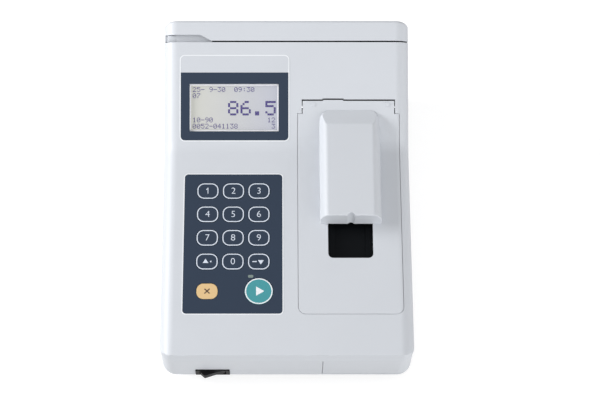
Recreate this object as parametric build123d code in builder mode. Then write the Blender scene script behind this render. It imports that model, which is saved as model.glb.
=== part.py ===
import os
from math import cos, pi, radians, sin, tan

from build123d import *

os.makedirs("parts", exist_ok=True)

# Overall size, in millimetres: X to the right, Y to the rear, Z up from the table
width = 198.0
front_y = -138.0
rear_y = 138.0
foot_height = 6.0
parting_z = 49.0
wall = 2.5
seam = 0.35
running_gap = 0.05
overshoot = 10.0
tolerance = 0.01
from_below = (Align.CENTER, Align.CENTER, Align.MIN)

# Side profile: front lip, keypad deck, bend, display slope, crest over the printer
crease_y = -137.5
crease_z = 59.0
deck_angle = 5.0
deck_length = 179.1
slope_angle = 27.7
slope_length = 103.4
bend_radius = 30.0
undercut_angle = 10.0
side_radius = 11.0
front_corner_radius = 12.0
rear_corner_radius = 2.2
bottom_radius = 5.0
lower_inset = 0.4
skirt = 25.0

half = width / 2
bend_y = crease_y + deck_length * cos(radians(deck_angle))
bend_z = crease_z + deck_length * sin(radians(deck_angle))
crest_y = bend_y + slope_length * cos(radians(slope_angle))
crest_z = bend_z + slope_length * sin(radians(slope_angle))

# Planes of the three outer faces: local x to the right, local y up the face, local z outwards
deck = Plane(
    origin=(0, bend_y, bend_z),
    x_dir=(1, 0, 0),
    z_dir=(0, -sin(radians(deck_angle)), cos(radians(deck_angle))),
)
slope = Plane(
    origin=(0, bend_y, bend_z),
    x_dir=(1, 0, 0),
    z_dir=(0, -sin(radians(slope_angle)), cos(radians(slope_angle))),
)
lower_face = Plane(
    origin=(0, front_y + lower_inset, parting_z),
    x_dir=(1, 0, 0),
    z_dir=(0, -cos(radians(undercut_angle)), -sin(radians(undercut_angle))),
)


def deck_point(x, forward, height):
    """A point on the keypad deck, forward of the bend and above the surface."""
    return deck.from_local_coords(Vector(x, -forward, height))


def slope_point(x, behind, height):
    """A point on the display slope, behind the bend and above the surface."""
    return slope.from_local_coords(Vector(x, behind, height))


# Outer forms
def upper_form(inset):
    """The block inside the upper housing's surface, shrunk by inset, open downwards."""
    with BuildPart() as form:
        with BuildSketch(Plane.YZ) as side:
            with BuildLine():
                Polyline(
                    (front_y, parting_z - skirt),
                    (front_y, parting_z),
                    (crease_y, crease_z),
                    (bend_y, bend_z),
                    (crest_y, crest_z),
                    (rear_y, parting_z),
                    (rear_y, parting_z - skirt),
                    close=True,
                )
            make_face()
            fillet(side.vertices().sort_by_distance((0, bend_y, bend_z))[0], bend_radius)
            if inset:
                offset(amount=-inset, kind=Kind.INTERSECTION)
        extrude(amount=half - inset, both=True)
        top_side_edges = form.edges().filter_by(
            lambda edge: abs(abs(edge.center().X) - half + inset) < tolerance
            and edge.center().Z > crease_z
            and edge.center().Y < crest_y - 5
        )
        fillet(top_side_edges, side_radius - inset)
        if inset == 0:
            crest_edges = form.edges().filter_by(
                lambda edge: edge.bounding_box().min.Y > crest_y - 0.5
                and edge.center().Z > parting_z
                and (edge.center().Z > crest_z - 15 or abs(edge.center().X) > half - tolerance)
            )
            fillet(crest_edges, rear_corner_radius)
        with BuildSketch(Plane.XY) as plan:
            with Locations((0, rear_y)):
                Rectangle(
                    width - 2 * inset,
                    rear_y - front_y - inset,
                    align=(Align.CENTER, Align.MAX),
                )
            fillet(plan.vertices().group_by(Axis.Y)[0], max(front_corner_radius - inset, 1))
        extrude(amount=crest_z + overshoot, mode=Mode.INTERSECT)
    return form.part


def lower_form(inset):
    """The block inside the lower housing's surface, with its undercut front and round base."""
    bottom_z = foot_height + inset - lower_inset
    with BuildPart() as form:
        for z in (parting_z, bottom_z):
            front = front_y + (parting_z - z) * tan(radians(undercut_angle)) + inset
            with BuildSketch(Plane.XY.offset(z)) as plan:
                with Locations((0, rear_y - inset)):
                    Rectangle(
                        width - 2 * inset,
                        rear_y - inset - front,
                        align=(Align.CENTER, Align.MAX),
                    )
                fillet(plan.vertices().group_by(Axis.Y)[0], front_corner_radius - inset)
                fillet(plan.vertices().group_by(Axis.Y)[-1], max(rear_corner_radius - inset, 0.5))
        loft(ruled=True)
        fillet(form.faces().sort_by(Axis.Z)[0].edges(), bottom_radius - inset)
    return form.part


outer_upper = upper_form(0)
inner_upper = upper_form(wall)
outer_lower = lower_form(lower_inset)
inner_lower = lower_form(lower_inset + wall)

# Measuring cover: a bent plate with a hinge tab, set flush into the deck
cover_x = 50.0
cover_width = 82.0
cover_thickness = 2.5
cover_front = 144.7
cover_corner = 6.0
shoulder_behind = 26.8
tab_width = 74.0
tab_behind = 37.2
tab_slit = 1.2
tab_side_gap = 0.7
catch_x = 37.6
catch_width = 16.2
catch_step = 0.8
ledge_drop = 2.8
ledge_thickness = 2.5
ledge_outside = 3.5
ledge_inside = 3.0
ledge_end_y = 10.0
hinge_behind = 32.7
hinge_drop = 3.4
hinge_pin_radius = 1.5
hinge_block_radius = 4.0
hinge_block_width = 4.2

cover_hinge_y = slope_point(0, hinge_behind, -hinge_drop).Y
cover_hinge_z = slope_point(0, hinge_behind, -hinge_drop).Z
cover_front_y = deck_point(0, cover_front, 0).Y
shoulder_y = slope_point(0, shoulder_behind, 0).Y
tab_y = slope_point(0, tab_behind, 0).Y + 5
tab_seat_y = slope_point(0, hinge_behind, 0).Y


def cover_prism(grow, tab_end_y):
    """The measuring cover's outline seen from above, grown by a gap, as an upright prism."""
    with BuildPart() as prism:
        with BuildSketch(Plane.XY.offset(parting_z)) as plan:
            with Locations((cover_x, cover_front_y - grow)):
                Rectangle(
                    cover_width + 2 * grow,
                    shoulder_y - cover_front_y + 2 * grow,
                    align=(Align.CENTER, Align.MIN),
                )
            fillet(plan.vertices().group_by(Axis.Y)[0], cover_corner + grow)
            with Locations((cover_x, 0)):
                Rectangle(tab_width + 2 * grow, tab_end_y, align=(Align.CENTER, Align.MIN))
        extrude(amount=crest_z)
    return prism.part


# Display panel and keypad: places on the two faces
panel_x = -42.0
panel_width = 88.2
panel_from = 4.6
panel_to = 74.3
panel_corner = 3.8
panel_thickness = 0.9
panel_pocket = 0.8
screen_x = -42.3
screen_width = 72.0
screen_height = 38.4
screen_behind = 31.7
screen_opening = (78.0, 44.0)

keypad_x = -42.5
keypad_width = 78.5
keypad_from = 24.5
keypad_to = 144.9
keypad_corner = 3.5
keypad_pocket = 1.0
keypad_opening = (72.0, 114.0)
key_size = (17.0, 13.6)
key_corner = 5.5
key_columns = (-62.9, -42.5, -22.1)
key_rows = (39.5, 59.9, 80.3, 100.7)
clear_key_x = -62.5
clear_key_size = (16.5, 13.0)
start_key_x = -22.0
start_key_radius = 11.0
big_keys_forward = 125.8
key_gap = 0.35
key_proud = 0.3
key_stem_radius = 1.6
key_stem_drop = 2.5
key_names = (
    ("key_1", "key_2", "key_3"),
    ("key_4", "key_5", "key_6"),
    ("key_7", "key_8", "key_9"),
    ("key_up", "key_0", "key_down"),
)
keypad_centre = (keypad_from + keypad_to) / 2
panel_centre = (panel_from + panel_to) / 2

# Rear lid over the printer
lid_front_y = 116.0
lid_front_behind = (lid_front_y - bend_y) / cos(radians(slope_angle))
lid_gap = 1.2
lid_seam_depth = 13.0
lid_side_z = 83.6
lid_wall_top_z = 81.4
lid_hinge_y = 132.8
lid_hinge_z = 84.0
lid_barrel_radius = 2.2
lid_pin_radius = 1.0
lid_ear_x = 80.0
lid_ear_width = 5.0
lid_ear_radius = 2.0
lid_ear_behind = 0.5
lid_inset = 0.3
lid_seat_front = 2.8
notch_left_x = -99.0
notch_right_x = -60.9
notch_slant = 9.2
notch_depth = 4.8
notch_reach = 10.0
notch_shelf_width = 39.0
notch_shelf_length = 15.0
notch_shelf_thickness = 1.4
notch_shelf_root = 5.0
notch_shelf_ahead = 6.0
notch_shelf_drop = 1.6
notch_shelf_bite = 0.3
notch_shelf_low_z = 100.0


def lid_seam(gap):
    """The lid's front edge from above: square to the slope at first, then straight down."""
    outer = slope_point(0, lid_front_behind + gap, overshoot)
    inner = slope_point(0, lid_front_behind + gap, -lid_seam_depth)
    return (outer.Y, outer.Z), (inner.Y, inner.Z)


# Case screws: posts of both shells share one axis
post_places = ((-84, -118), (-84, 126), (84, 126), (91.8, -48))
post_radius = 4.0
screw_radius = 1.5
screw_bite = 8.0
screw_head_radius = 3.0
screw_head_height = 2.0
rear_post_height = 9.0

# Shelf under the lid's finger notch, rooted in the housing in front of the lid
with BuildPart() as notch_shelf:
    add(upper_form(wall + notch_shelf_drop))
    add(upper_form(wall + notch_shelf_drop + notch_shelf_thickness), mode=Mode.SUBTRACT)
    with BuildSketch(Plane.XY.offset(notch_shelf_low_z)):
        with Locations((notch_left_x, lid_front_y - notch_shelf_ahead)):
            Rectangle(
                notch_shelf_width, notch_shelf_length, align=(Align.MIN, Align.MIN)
            )
    extrude(amount=crest_z, mode=Mode.INTERSECT)
with BuildPart() as notch_shelf_base:
    add(upper_form(wall - notch_shelf_bite))
    add(upper_form(wall + notch_shelf_drop + notch_shelf_thickness), mode=Mode.SUBTRACT)
    with BuildSketch(Plane.XY.offset(notch_shelf_low_z)):
        with Locations((notch_left_x, lid_front_y - notch_shelf_ahead)):
            Rectangle(notch_shelf_width, notch_shelf_root, align=(Align.MIN, Align.MIN))
    extrude(amount=crest_z, mode=Mode.INTERSECT)

# Upper housing
with BuildPart() as top_case:
    add(outer_upper)
    add(inner_upper, mode=Mode.SUBTRACT)
    # Ledge that the measuring cover rests on, along its sides and front
    add(
        (cover_prism(ledge_outside, ledge_end_y) & upper_form(wall - 0.5))
        - upper_form(ledge_drop + ledge_thickness)
        - cover_prism(-ledge_inside, tab_y)
    )
    split(bisect_by=Plane.XY.offset(parting_z), keep=Keep.TOP)
    # Posts for the case screws, trimmed under the outer skin
    for post_x, post_y in post_places:
        with BuildSketch(Plane.XY.offset(parting_z)):
            with Locations((post_x, post_y)):
                Circle(post_radius)
            if post_y > lid_front_y:
                with Locations((post_x, post_y)):
                    Rectangle(2.4, rear_y - post_y - 1, align=(Align.CENTER, Align.MIN))
        post_height = deck_point(0, bend_y - post_y, 0).Z - parting_z - 1
        if post_y > lid_front_y:
            post_height = rear_post_height
        if post_y < cover_front_y:
            post_height = crease_z - parting_z + 0.5
        extrude(amount=post_height)
        with BuildSketch(Plane.XY.offset(parting_z)):
            with Locations((post_x, post_y)):
                Circle(screw_radius - running_gap)
        extrude(amount=screw_bite, mode=Mode.SUBTRACT)
    # Recess of the measuring cover, its floor ledge and the way through
    add(cover_prism(seam, tab_seat_y) - upper_form(ledge_drop), mode=Mode.SUBTRACT)
    with BuildSketch(slope.offset(-hinge_drop - overshoot)):
        with Locations((cover_x, shoulder_behind)):
            Rectangle(
                tab_width + 2 * tab_side_gap,
                tab_behind + tab_slit - shoulder_behind,
                align=(Align.CENTER, Align.MIN),
            )
        with Locations((catch_x, shoulder_behind)):
            Rectangle(
                catch_width + 2 * seam,
                tab_behind + tab_slit + catch_step - shoulder_behind,
                align=(Align.CENTER, Align.MIN),
            )
    extrude(amount=hinge_drop + 2 * overshoot, mode=Mode.SUBTRACT)
    with BuildSketch(slope.offset(-hinge_drop - overshoot)):
        with Locations((cover_x, 20)):
            Rectangle(
                tab_width + 2 * seam,
                shoulder_behind - 20,
                align=(Align.CENTER, Align.MIN),
            )
    extrude(amount=hinge_drop + 2 * overshoot, mode=Mode.SUBTRACT)
    # Display window and the shallow seat of its panel
    with BuildSketch(slope.offset(-panel_pocket)):
        with Locations((panel_x, panel_centre)):
            RectangleRounded(panel_width, panel_to - panel_from, panel_corner)
    extrude(amount=overshoot, mode=Mode.SUBTRACT)
    with BuildSketch(slope.offset(-overshoot)):
        with Locations((screen_x, screen_behind)):
            Rectangle(*screen_opening)
    extrude(amount=overshoot, mode=Mode.SUBTRACT)
    # Keypad seat and the opening over the key switches
    with BuildSketch(deck.offset(-keypad_pocket)):
        with Locations((keypad_x, -keypad_centre)):
            RectangleRounded(keypad_width, keypad_to - keypad_from, keypad_corner)
    extrude(amount=overshoot, mode=Mode.SUBTRACT)
    with BuildSketch(deck.offset(-overshoot)):
        with Locations((keypad_x, -keypad_centre)):
            Rectangle(*keypad_opening)
    extrude(amount=overshoot, mode=Mode.SUBTRACT)
    # Printer bay, open to the top and rear
    with BuildSketch(Plane.YZ):
        with BuildLine():
            Polyline(
                *lid_seam(0),
                (lid_seam(0)[1][0], lid_side_z),
                (lid_hinge_y - lid_seat_front, lid_side_z),
                (lid_hinge_y - lid_seat_front, lid_wall_top_z),
                (rear_y + overshoot, lid_wall_top_z),
                (rear_y + overshoot, crest_z + overshoot),
                close=True,
            )
        make_face()
    extrude(amount=half + overshoot, both=True, mode=Mode.SUBTRACT)
    add(notch_shelf.part)
    add(notch_shelf_base.part)
    # Ears for the lid's hinge pins
    for side_x in (-lid_ear_x, lid_ear_x):
        with BuildSketch(Plane.YZ.offset(side_x)):
            with Locations((lid_hinge_y, lid_hinge_z)):
                Circle(lid_ear_radius)
            with Locations((lid_hinge_y - lid_ear_radius, lid_wall_top_z - 6)):
                Rectangle(
                    lid_ear_radius + lid_ear_behind,
                    lid_hinge_z - lid_wall_top_z + 6,
                    align=(Align.MIN, Align.MIN),
                )
            with Locations((lid_hinge_y, lid_hinge_z)):
                Circle(lid_pin_radius, mode=Mode.SUBTRACT)
        extrude(amount=lid_ear_width / 2, both=True)
    # Blocks beside the hinge tab that hold the measuring cover's pins
    for side in (-1, 1):
        with BuildSketch(Plane.YZ.offset(cover_x + side * (tab_width / 2 + tab_side_gap))):
            with Locations((cover_hinge_y, cover_hinge_z)):
                Circle(hinge_block_radius)
                with Locations(Location((0, 0), slope_angle)):
                    Rectangle(
                        2 * hinge_block_radius,
                        hinge_block_radius,
                        align=(Align.CENTER, Align.MIN),
                    )
        extrude(amount=side * hinge_block_width)
    with BuildSketch(Plane.YZ.offset(cover_x)):
        with Locations((cover_hinge_y, cover_hinge_z)):
            Circle(hinge_pin_radius)
    extrude(
        amount=tab_width / 2 + tab_side_gap + hinge_block_width,
        both=True,
        mode=Mode.SUBTRACT,
    )
    add(outer_upper, mode=Mode.INTERSECT)
top_case.part.label = "top_case"
export_step(top_case.part, "parts/top_case.step")

# Waste drawer places
drawer_left_x = 27.8
drawer_back_y = -111.8
drawer_floor_z = 12.0
bin_left_x = 31.0
bin_right_x = 93.5
bin_front_y = -126.5
bin_rear_y = -68.0
bin_floor_z = 13.0
bin_top_z = 44.0
bin_wall = 1.6
bin_corner = 4.0

# Power switch place on the undercut face
switch_x = -58.5
switch_down = 31.5
switch_bezel = (27.0, 12.4)
switch_body = (24.0, 10.6)

inlet_x = -60.0
inlet_z = 28.0
inlet_size = (14.0, 11.0)

board_left_x = -92.0
board_right_x = 18.0
board_front_y = -30.0
board_rear_y = 84.0
board_z = 16.0
board_thickness = 1.6
board_post_places = ((-86, -24), (-86, 78), (12, 78), (12, -24))

foot_places = ((-78, -98), (78, -98), (-78, 100), (78, 100))
foot_radius = 9.0
floor_z = foot_height + wall

chassis_left_x = 30.0
chassis_right_x = 71.0
chassis_floor = -27.5
pillar_places = [(x, y) for y in (-54.0, 38.0) for x in (chassis_left_x + 4, chassis_right_x - 4)]
pillar_radius = 3.2
rail_places = (40.0, 84.0)

# Lower housing
with BuildPart() as lower_case:
    add(outer_lower)
    add(inner_lower, mode=Mode.SUBTRACT)
    # Drawer opening through the front and the front right corner
    with Locations((drawer_left_x, front_y - overshoot, drawer_floor_z)):
        Box(
            half + overshoot - drawer_left_x,
            drawer_back_y - front_y + overshoot,
            parting_z,
            align=(Align.MIN, Align.MIN, Align.MIN),
            mode=Mode.SUBTRACT,
        )
    # Rails under the waste bin
    for rail_x in rail_places:
        with Locations((rail_x, bin_front_y, floor_z - 0.5)):
            Box(
                2.4,
                bin_rear_y - bin_front_y,
                bin_floor_z - floor_z + 0.1,
                align=(Align.CENTER, Align.MIN, Align.MIN),
            )
    # Posts for the case screws
    for post_x, post_y in post_places:
        with Locations((post_x, post_y, foot_height + 1)):
            Cylinder(
                post_radius,
                parting_z - foot_height - 1,
                align=from_below,
            )
    for post_x, post_y in post_places:
        with Locations((post_x, post_y, foot_height)):
            Cylinder(
                screw_radius + 0.2,
                parting_z,
                align=from_below,
                mode=Mode.SUBTRACT,
            )
            Cylinder(
                screw_head_radius + 0.3,
                screw_head_height + 0.6,
                align=from_below,
                mode=Mode.SUBTRACT,
            )
    # Standoffs of the main board
    for post_x, post_y in board_post_places:
        with Locations((post_x, post_y, floor_z - 0.5)):
            Cylinder(
                3.0,
                board_z - floor_z + 0.5,
                align=from_below,
            )
    # Pillars that carry the measuring chassis
    for pillar_x, pillar_y in pillar_places:
        pillar_top = deck_point(0, bend_y - pillar_y + 2.3, chassis_floor).Z
        with Locations((pillar_x, pillar_y, floor_z - 0.5)):
            Cylinder(
                pillar_radius,
                pillar_top - floor_z - 0.4,
                align=from_below,
            )
    # Switch opening in the undercut face
    with BuildSketch(lower_face.offset(-overshoot)):
        with Locations((switch_x, -switch_down)):
            Rectangle(switch_body[0] + 0.4, switch_body[1] + 0.4)
    extrude(amount=2 * overshoot, mode=Mode.SUBTRACT)
    # Inlet opening in the rear wall
    with BuildSketch(Plane.XZ.offset(-rear_y - overshoot)):
        with Locations((inlet_x, inlet_z)):
            Rectangle(inlet_size[0] + 0.2, inlet_size[1] + 0.2)
    extrude(amount=2 * overshoot, mode=Mode.SUBTRACT)
lower_case.part.label = "lower_case"
export_step(lower_case.part, "parts/lower_case.step")

# Rear lid: a cap with cheeks that swings on two pins at its rear lower edge
with BuildPart() as rear_lid:
    add(outer_upper)
    add(inner_upper, mode=Mode.SUBTRACT)
    with BuildSketch(Plane.YZ):
        with BuildLine():
            Polyline(
                *lid_seam(lid_gap),
                (lid_seam(lid_gap)[1][0], lid_hinge_z),
                (rear_y + overshoot, lid_hinge_z),
                (rear_y + overshoot, crest_z + overshoot),
                close=True,
            )
        make_face()
    extrude(amount=half - lid_inset, both=True, mode=Mode.INTERSECT)
    with BuildSketch(Plane.YZ):
        with Locations((lid_hinge_y, lid_hinge_z)):
            Circle(lid_barrel_radius)
    extrude(amount=half - rear_corner_radius, both=True)
    for side_x in (-lid_ear_x, lid_ear_x):
        with BuildSketch(Plane.YZ.offset(side_x)):
            with Locations((lid_hinge_y, lid_hinge_z)):
                Circle(lid_barrel_radius + 0.5)
                Rectangle(
                    2 * lid_barrel_radius + 1,
                    overshoot,
                    align=(Align.CENTER, Align.MAX),
                )
        extrude(amount=lid_ear_width / 2 + 0.4, both=True, mode=Mode.SUBTRACT)
    with BuildSketch(Plane.YZ):
        with Locations((lid_hinge_y, lid_hinge_z)):
            Circle(lid_pin_radius + running_gap)
    extrude(amount=lid_ear_x + overshoot, both=True, mode=Mode.SUBTRACT)
    # Finger notch in the front edge at the left
    with BuildSketch(slope.offset(-notch_reach)):
        with BuildLine():
            Polyline(
                (notch_left_x - overshoot, lid_front_behind),
                (notch_left_x - overshoot, lid_front_behind + lid_gap + notch_depth),
                (notch_right_x - notch_slant, lid_front_behind + lid_gap + notch_depth),
                (notch_right_x, lid_front_behind + lid_gap),
                (notch_right_x, lid_front_behind),
                close=True,
            )
        make_face()
    extrude(amount=notch_reach + overshoot, mode=Mode.SUBTRACT)
rear_lid.part.label = "rear_lid"
export_step(rear_lid.part, "parts/rear_lid.step")

with BuildPart() as lid_hinge_pins:
    for side_x in (-lid_ear_x, lid_ear_x):
        with BuildSketch(Plane.YZ.offset(side_x)):
            with Locations((lid_hinge_y, lid_hinge_z)):
                Circle(lid_pin_radius)
        extrude(amount=lid_ear_width / 2 + 5, both=True)
lid_hinge_pins.part.label = "lid_hinge_pins"
export_step(lid_hinge_pins.part, "parts/lid_hinge_pins.step")

# Measuring cover: bent plate, lugs round the hinge pins, slide port and pips
port_x = 50.5
port_width = 35.6
port_from = 0.0
port_to = 97.4
port_corner = 4.0
pip_places = (21.4, 81.2)
pip_behind = 34.4
pip_radius = 2.0
pip_height = 0.5
lug_radius = 3.0
lug_width = 4.0
lug_inset = 1.5

with BuildPart() as measuring_cover:
    add(outer_upper & cover_prism(0, tab_y))
    add(upper_form(cover_thickness), mode=Mode.SUBTRACT)
    # Rear edge of the hinge tab, with the step at its catch
    with BuildSketch(slope.offset(-hinge_drop - overshoot)):
        with Locations((cover_x, tab_behind)):
            Rectangle(
                tab_width + overshoot, 2 * overshoot, align=(Align.CENTER, Align.MIN)
            )
        with Locations((catch_x, tab_behind)):
            Rectangle(
                catch_width,
                catch_step,
                align=(Align.CENTER, Align.MIN),
                mode=Mode.SUBTRACT,
            )
    extrude(amount=hinge_drop + 2 * overshoot, mode=Mode.SUBTRACT)
    for side in (-1, 1):
        with BuildSketch(Plane.YZ.offset(cover_x + side * (tab_width / 2 - lug_inset))):
            with Locations((cover_hinge_y, cover_hinge_z)):
                Circle(lug_radius)
                with Locations(Location((0, 0), slope_angle)):
                    Rectangle(
                        2 * lug_radius,
                        hinge_drop - 1.4,
                        align=(Align.CENTER, Align.MIN),
                    )
        extrude(amount=-side * lug_width)
    with BuildSketch(Plane.YZ.offset(cover_x)):
        with Locations((cover_hinge_y, cover_hinge_z)):
            Circle(hinge_pin_radius + running_gap)
    extrude(amount=tab_width, both=True, mode=Mode.SUBTRACT)
    with BuildSketch(deck.offset(-overshoot)) as port:
        with Locations((port_x, -(port_from + port_to) / 2)):
            Rectangle(port_width, port_to - port_from)
        fillet(port.vertices().group_by(Axis.Y)[0], port_corner)
    extrude(amount=2 * overshoot, mode=Mode.SUBTRACT)
    for pip_x in pip_places:
        with BuildSketch(slope.offset(-1)):
            with Locations((pip_x, pip_behind)):
                Circle(pip_radius)
        extrude(amount=1 + pip_height, taper=8)
measuring_cover.part.label = "measuring_cover"
export_step(measuring_cover.part, "parts/measuring_cover.step")

with BuildPart() as cover_hinge_pins:
    for side in (-1, 1):
        pin_end = tab_width / 2 + tab_side_gap + hinge_block_width - 0.4
        with BuildSketch(Plane.YZ.offset(cover_x + side * pin_end)):
            with Locations((cover_hinge_y, cover_hinge_z)):
                Circle(hinge_pin_radius)
        extrude(amount=-side * (hinge_block_width + tab_side_gap + lug_inset + lug_width))
cover_hinge_pins.part.label = "cover_hinge_pins"
export_step(cover_hinge_pins.part, "parts/cover_hinge_pins.step")

# Hood over the slide port: drafted walls, a rear bevel and a pipette groove in its front
hood_x = 50.5
hood_height = 16.4
hood_front = 68.0
hood_rear = 29.5
hood_front_width = 50.2
hood_rear_width = 54.6
hood_top_width = 42.4
hood_rear_draft = 3.4
hood_corner = 6.0
hood_bevel_from = 12.6
hood_bevel_to = 27.6
hood_bevel_low = 11.4
hood_shoulder_radius = 3.2
hood_rim_radius = 0.8
hood_wall = 2.2
groove_radius = 3.3
groove_ahead = 2.2
groove_wall = 1.8


def hood_outline(front_width, rear_width, rear, corner):
    """The hood seen from above the deck, rounded at its two rear corners."""
    with BuildSketch() as outline:
        with BuildLine():
            Polyline(
                (hood_x - front_width / 2, -hood_front),
                (hood_x + front_width / 2, -hood_front),
                (hood_x + rear_width / 2, rear),
                (hood_x - rear_width / 2, rear),
                close=True,
            )
        make_face()
        fillet(outline.vertices().group_by(Axis.Y)[-1], corner)
    return outline.sketch


def profile_point(behind, height):
    """A point of the side profile, behind the bend and above the deck's plane."""
    point = deck_point(0, -behind, height)
    return point.Y, point.Z


def hood_form(shrink, shoulder_radius=0):
    """The hood's block, lofted from its base up to its top, with the bevel at its rear."""
    with BuildPart() as form:
        for height, front_width, rear_width, rear in (
            (0, hood_front_width, hood_rear_width, hood_rear),
            (hood_height, hood_top_width, hood_top_width + 0.6, hood_rear - hood_rear_draft),
        ):
            with BuildSketch(deck.offset(height)):
                add(hood_outline(front_width, rear_width, rear, hood_corner))
                if shrink:
                    offset(amount=-shrink)
        loft(ruled=True)
        if shrink:
            extrude(form.faces().sort_by(Axis.Z)[0], amount=overshoot, dir=(0, 0, -1))
            split(bisect_by=deck.offset(hood_height - shrink), keep=Keep.BOTTOM)
        if shoulder_radius:
            top_edges = form.faces().sort_by(Axis.Z)[-1].edges()
            fillet(top_edges.sort_by(Axis.Y)[1:], shoulder_radius)
        # Bevel that falls from the flat top to the display slope
        with BuildSketch(Plane.YZ):
            with BuildLine():
                Polyline(
                    profile_point(hood_bevel_from, hood_height - shrink),
                    profile_point(hood_bevel_to, hood_bevel_low - shrink),
                    profile_point(hood_bevel_to + overshoot, hood_bevel_low - shrink),
                    profile_point(hood_bevel_to + overshoot, 2 * hood_height),
                    profile_point(hood_bevel_from, 2 * hood_height),
                    close=True,
                )
            make_face()
        extrude(amount=half, mode=Mode.SUBTRACT)
    return form.part


with BuildPart() as hood_hollow:
    add(hood_form(hood_wall))
    # The front wall goes round behind the groove
    with BuildSketch(Plane.XY.offset(parting_z)):
        with Locations((port_x, deck_point(0, hood_front, 0).Y - groove_ahead)):
            Circle(groove_radius + groove_wall)
    extrude(amount=crest_z, mode=Mode.SUBTRACT)

with BuildPart() as cover_hood:
    add(hood_form(0, hood_shoulder_radius))
    rim = cover_hood.faces().sort_by(Axis.Y)[0].edges()
    fillet(rim.filter_by(lambda edge: edge.center().Z > crease_z + 12), hood_rim_radius)
    add(hood_hollow.part, mode=Mode.SUBTRACT)
    # The groove is upright while the front leans with the deck, so it is deeper at the top
    with BuildSketch(Plane.XY.offset(parting_z)):
        with Locations((port_x, deck_point(0, hood_front, 0).Y - groove_ahead)):
            Circle(groove_radius)
    extrude(amount=crest_z, mode=Mode.SUBTRACT)
    add(outer_upper, mode=Mode.SUBTRACT)
cover_hood.part.label = "cover_hood"
export_step(cover_hood.part, "parts/cover_hood.step")

# Display: printed panel with its window, clear pane, glass, metal frame and circuit board
with BuildPart() as display_panel:
    with BuildSketch(slope.offset(-panel_pocket)):
        with Locations((panel_x, panel_centre)):
            RectangleRounded(
                panel_width - 0.3, panel_to - panel_from - 0.3, panel_corner - 0.15
            )
        with Locations((screen_x, screen_behind)):
            Rectangle(screen_width, screen_height, mode=Mode.SUBTRACT)
    extrude(amount=panel_thickness)
display_panel.part.label = "display_panel"
export_step(display_panel.part, "parts/display_panel.step")

pane_thickness = 0.6
with BuildPart() as display_pane:
    with BuildSketch(slope.offset(-panel_pocket)):
        with Locations((screen_x, screen_behind)):
            Rectangle(screen_width, screen_height)
    extrude(amount=pane_thickness)
display_pane.part.label = "display_pane"
export_step(display_pane.part, "parts/display_pane.step")

glass_top = -2.0
glass_thickness = 2.2
glass_margin = 2.0
frame_margin = 5.0
frame_lip = 0.8
board_sheet = 1.6
with BuildPart() as lcd_glass:
    with BuildSketch(slope.offset(glass_top - glass_thickness)):
        with Locations((screen_x, screen_behind)):
            Rectangle(screen_width + glass_margin, screen_height + glass_margin)
    extrude(amount=glass_thickness)
lcd_glass.part.label = "lcd_glass"
export_step(lcd_glass.part, "parts/lcd_glass.step")

with BuildPart() as lcd_frame:
    with BuildSketch(slope.offset(glass_top - glass_thickness)):
        with Locations((screen_x, screen_behind)):
            Rectangle(screen_width + frame_margin, screen_height + frame_margin)
            Rectangle(
                screen_width + glass_margin,
                screen_height + glass_margin,
                mode=Mode.SUBTRACT,
            )
    extrude(amount=glass_thickness)
    with BuildSketch(slope.offset(glass_top)):
        with Locations((screen_x, screen_behind)):
            Rectangle(screen_width + frame_margin, screen_height + frame_margin)
            Rectangle(
                screen_width - 2 * frame_lip,
                screen_height - 2 * frame_lip,
                mode=Mode.SUBTRACT,
            )
    extrude(amount=0.5)
lcd_frame.part.label = "lcd_frame"
export_step(lcd_frame.part, "parts/lcd_frame.step")

# The board hangs from the housing on four posts of its own
lcd_board_size = (92.0, 58.0)
lcd_post_spread = (86.0, 52.0)
lcd_post_radius = 2.6
lcd_hole_radius = 1.6
with BuildPart() as lcd_board:
    with BuildSketch(slope.offset(glass_top - glass_thickness - board_sheet)):
        with Locations((screen_x, screen_behind)):
            Rectangle(*lcd_board_size)
            with GridLocations(*lcd_post_spread, 2, 2):
                Circle(lcd_hole_radius, mode=Mode.SUBTRACT)
    extrude(amount=board_sheet)
    with BuildSketch(slope.offset(glass_top - glass_thickness)):
        with Locations((screen_x, screen_behind)):
            with GridLocations(*lcd_post_spread, 2, 2):
                Circle(lcd_post_radius)
                Circle(lcd_hole_radius, mode=Mode.SUBTRACT)
    extrude(amount=-glass_top + glass_thickness - wall)
lcd_board.part.label = "lcd_board"
export_step(lcd_board.part, "parts/lcd_board.step")


def key_outline(name):
    """Place and size of a key on the deck: x, y, width, height and corner radius."""
    if name == "key_clear":
        return clear_key_x, -big_keys_forward, *clear_key_size, key_corner
    if name == "key_start":
        side = 2 * start_key_radius
        return start_key_x, -big_keys_forward, side, side, start_key_radius - tolerance
    for row, names in enumerate(key_names):
        if name in names:
            return key_columns[names.index(name)], -key_rows[row], *key_size, key_corner


all_keys = [name for names in key_names for name in names] + ["key_clear", "key_start"]

# Keypad: printed sheet, key pads, switch board with snap domes, ready light
light_place = (-28.4, -113.2)
light_size = (4.2, 2.4)
light_corner = 1.0
light_chip = (3.0, 1.8)
sheet_thickness = keypad_pocket + 0.1

with BuildPart() as keypad_sheet:
    with BuildSketch(deck.offset(-keypad_pocket)):
        with Locations((keypad_x, -keypad_centre)):
            RectangleRounded(
                keypad_width - 0.3, keypad_to - keypad_from - 0.3, keypad_corner - 0.15
            )
        for key in all_keys:
            x, y, size_x, size_y, corner = key_outline(key)
            with Locations((x, y)):
                RectangleRounded(
                    size_x + 2 * key_gap,
                    size_y + 2 * key_gap,
                    corner + key_gap,
                    mode=Mode.SUBTRACT,
                )
        with Locations(light_place):
            RectangleRounded(*light_size, light_corner, mode=Mode.SUBTRACT)
    extrude(amount=sheet_thickness)
keypad_sheet.part.label = "keypad_sheet"
export_step(keypad_sheet.part, "parts/keypad_sheet.step")

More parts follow.
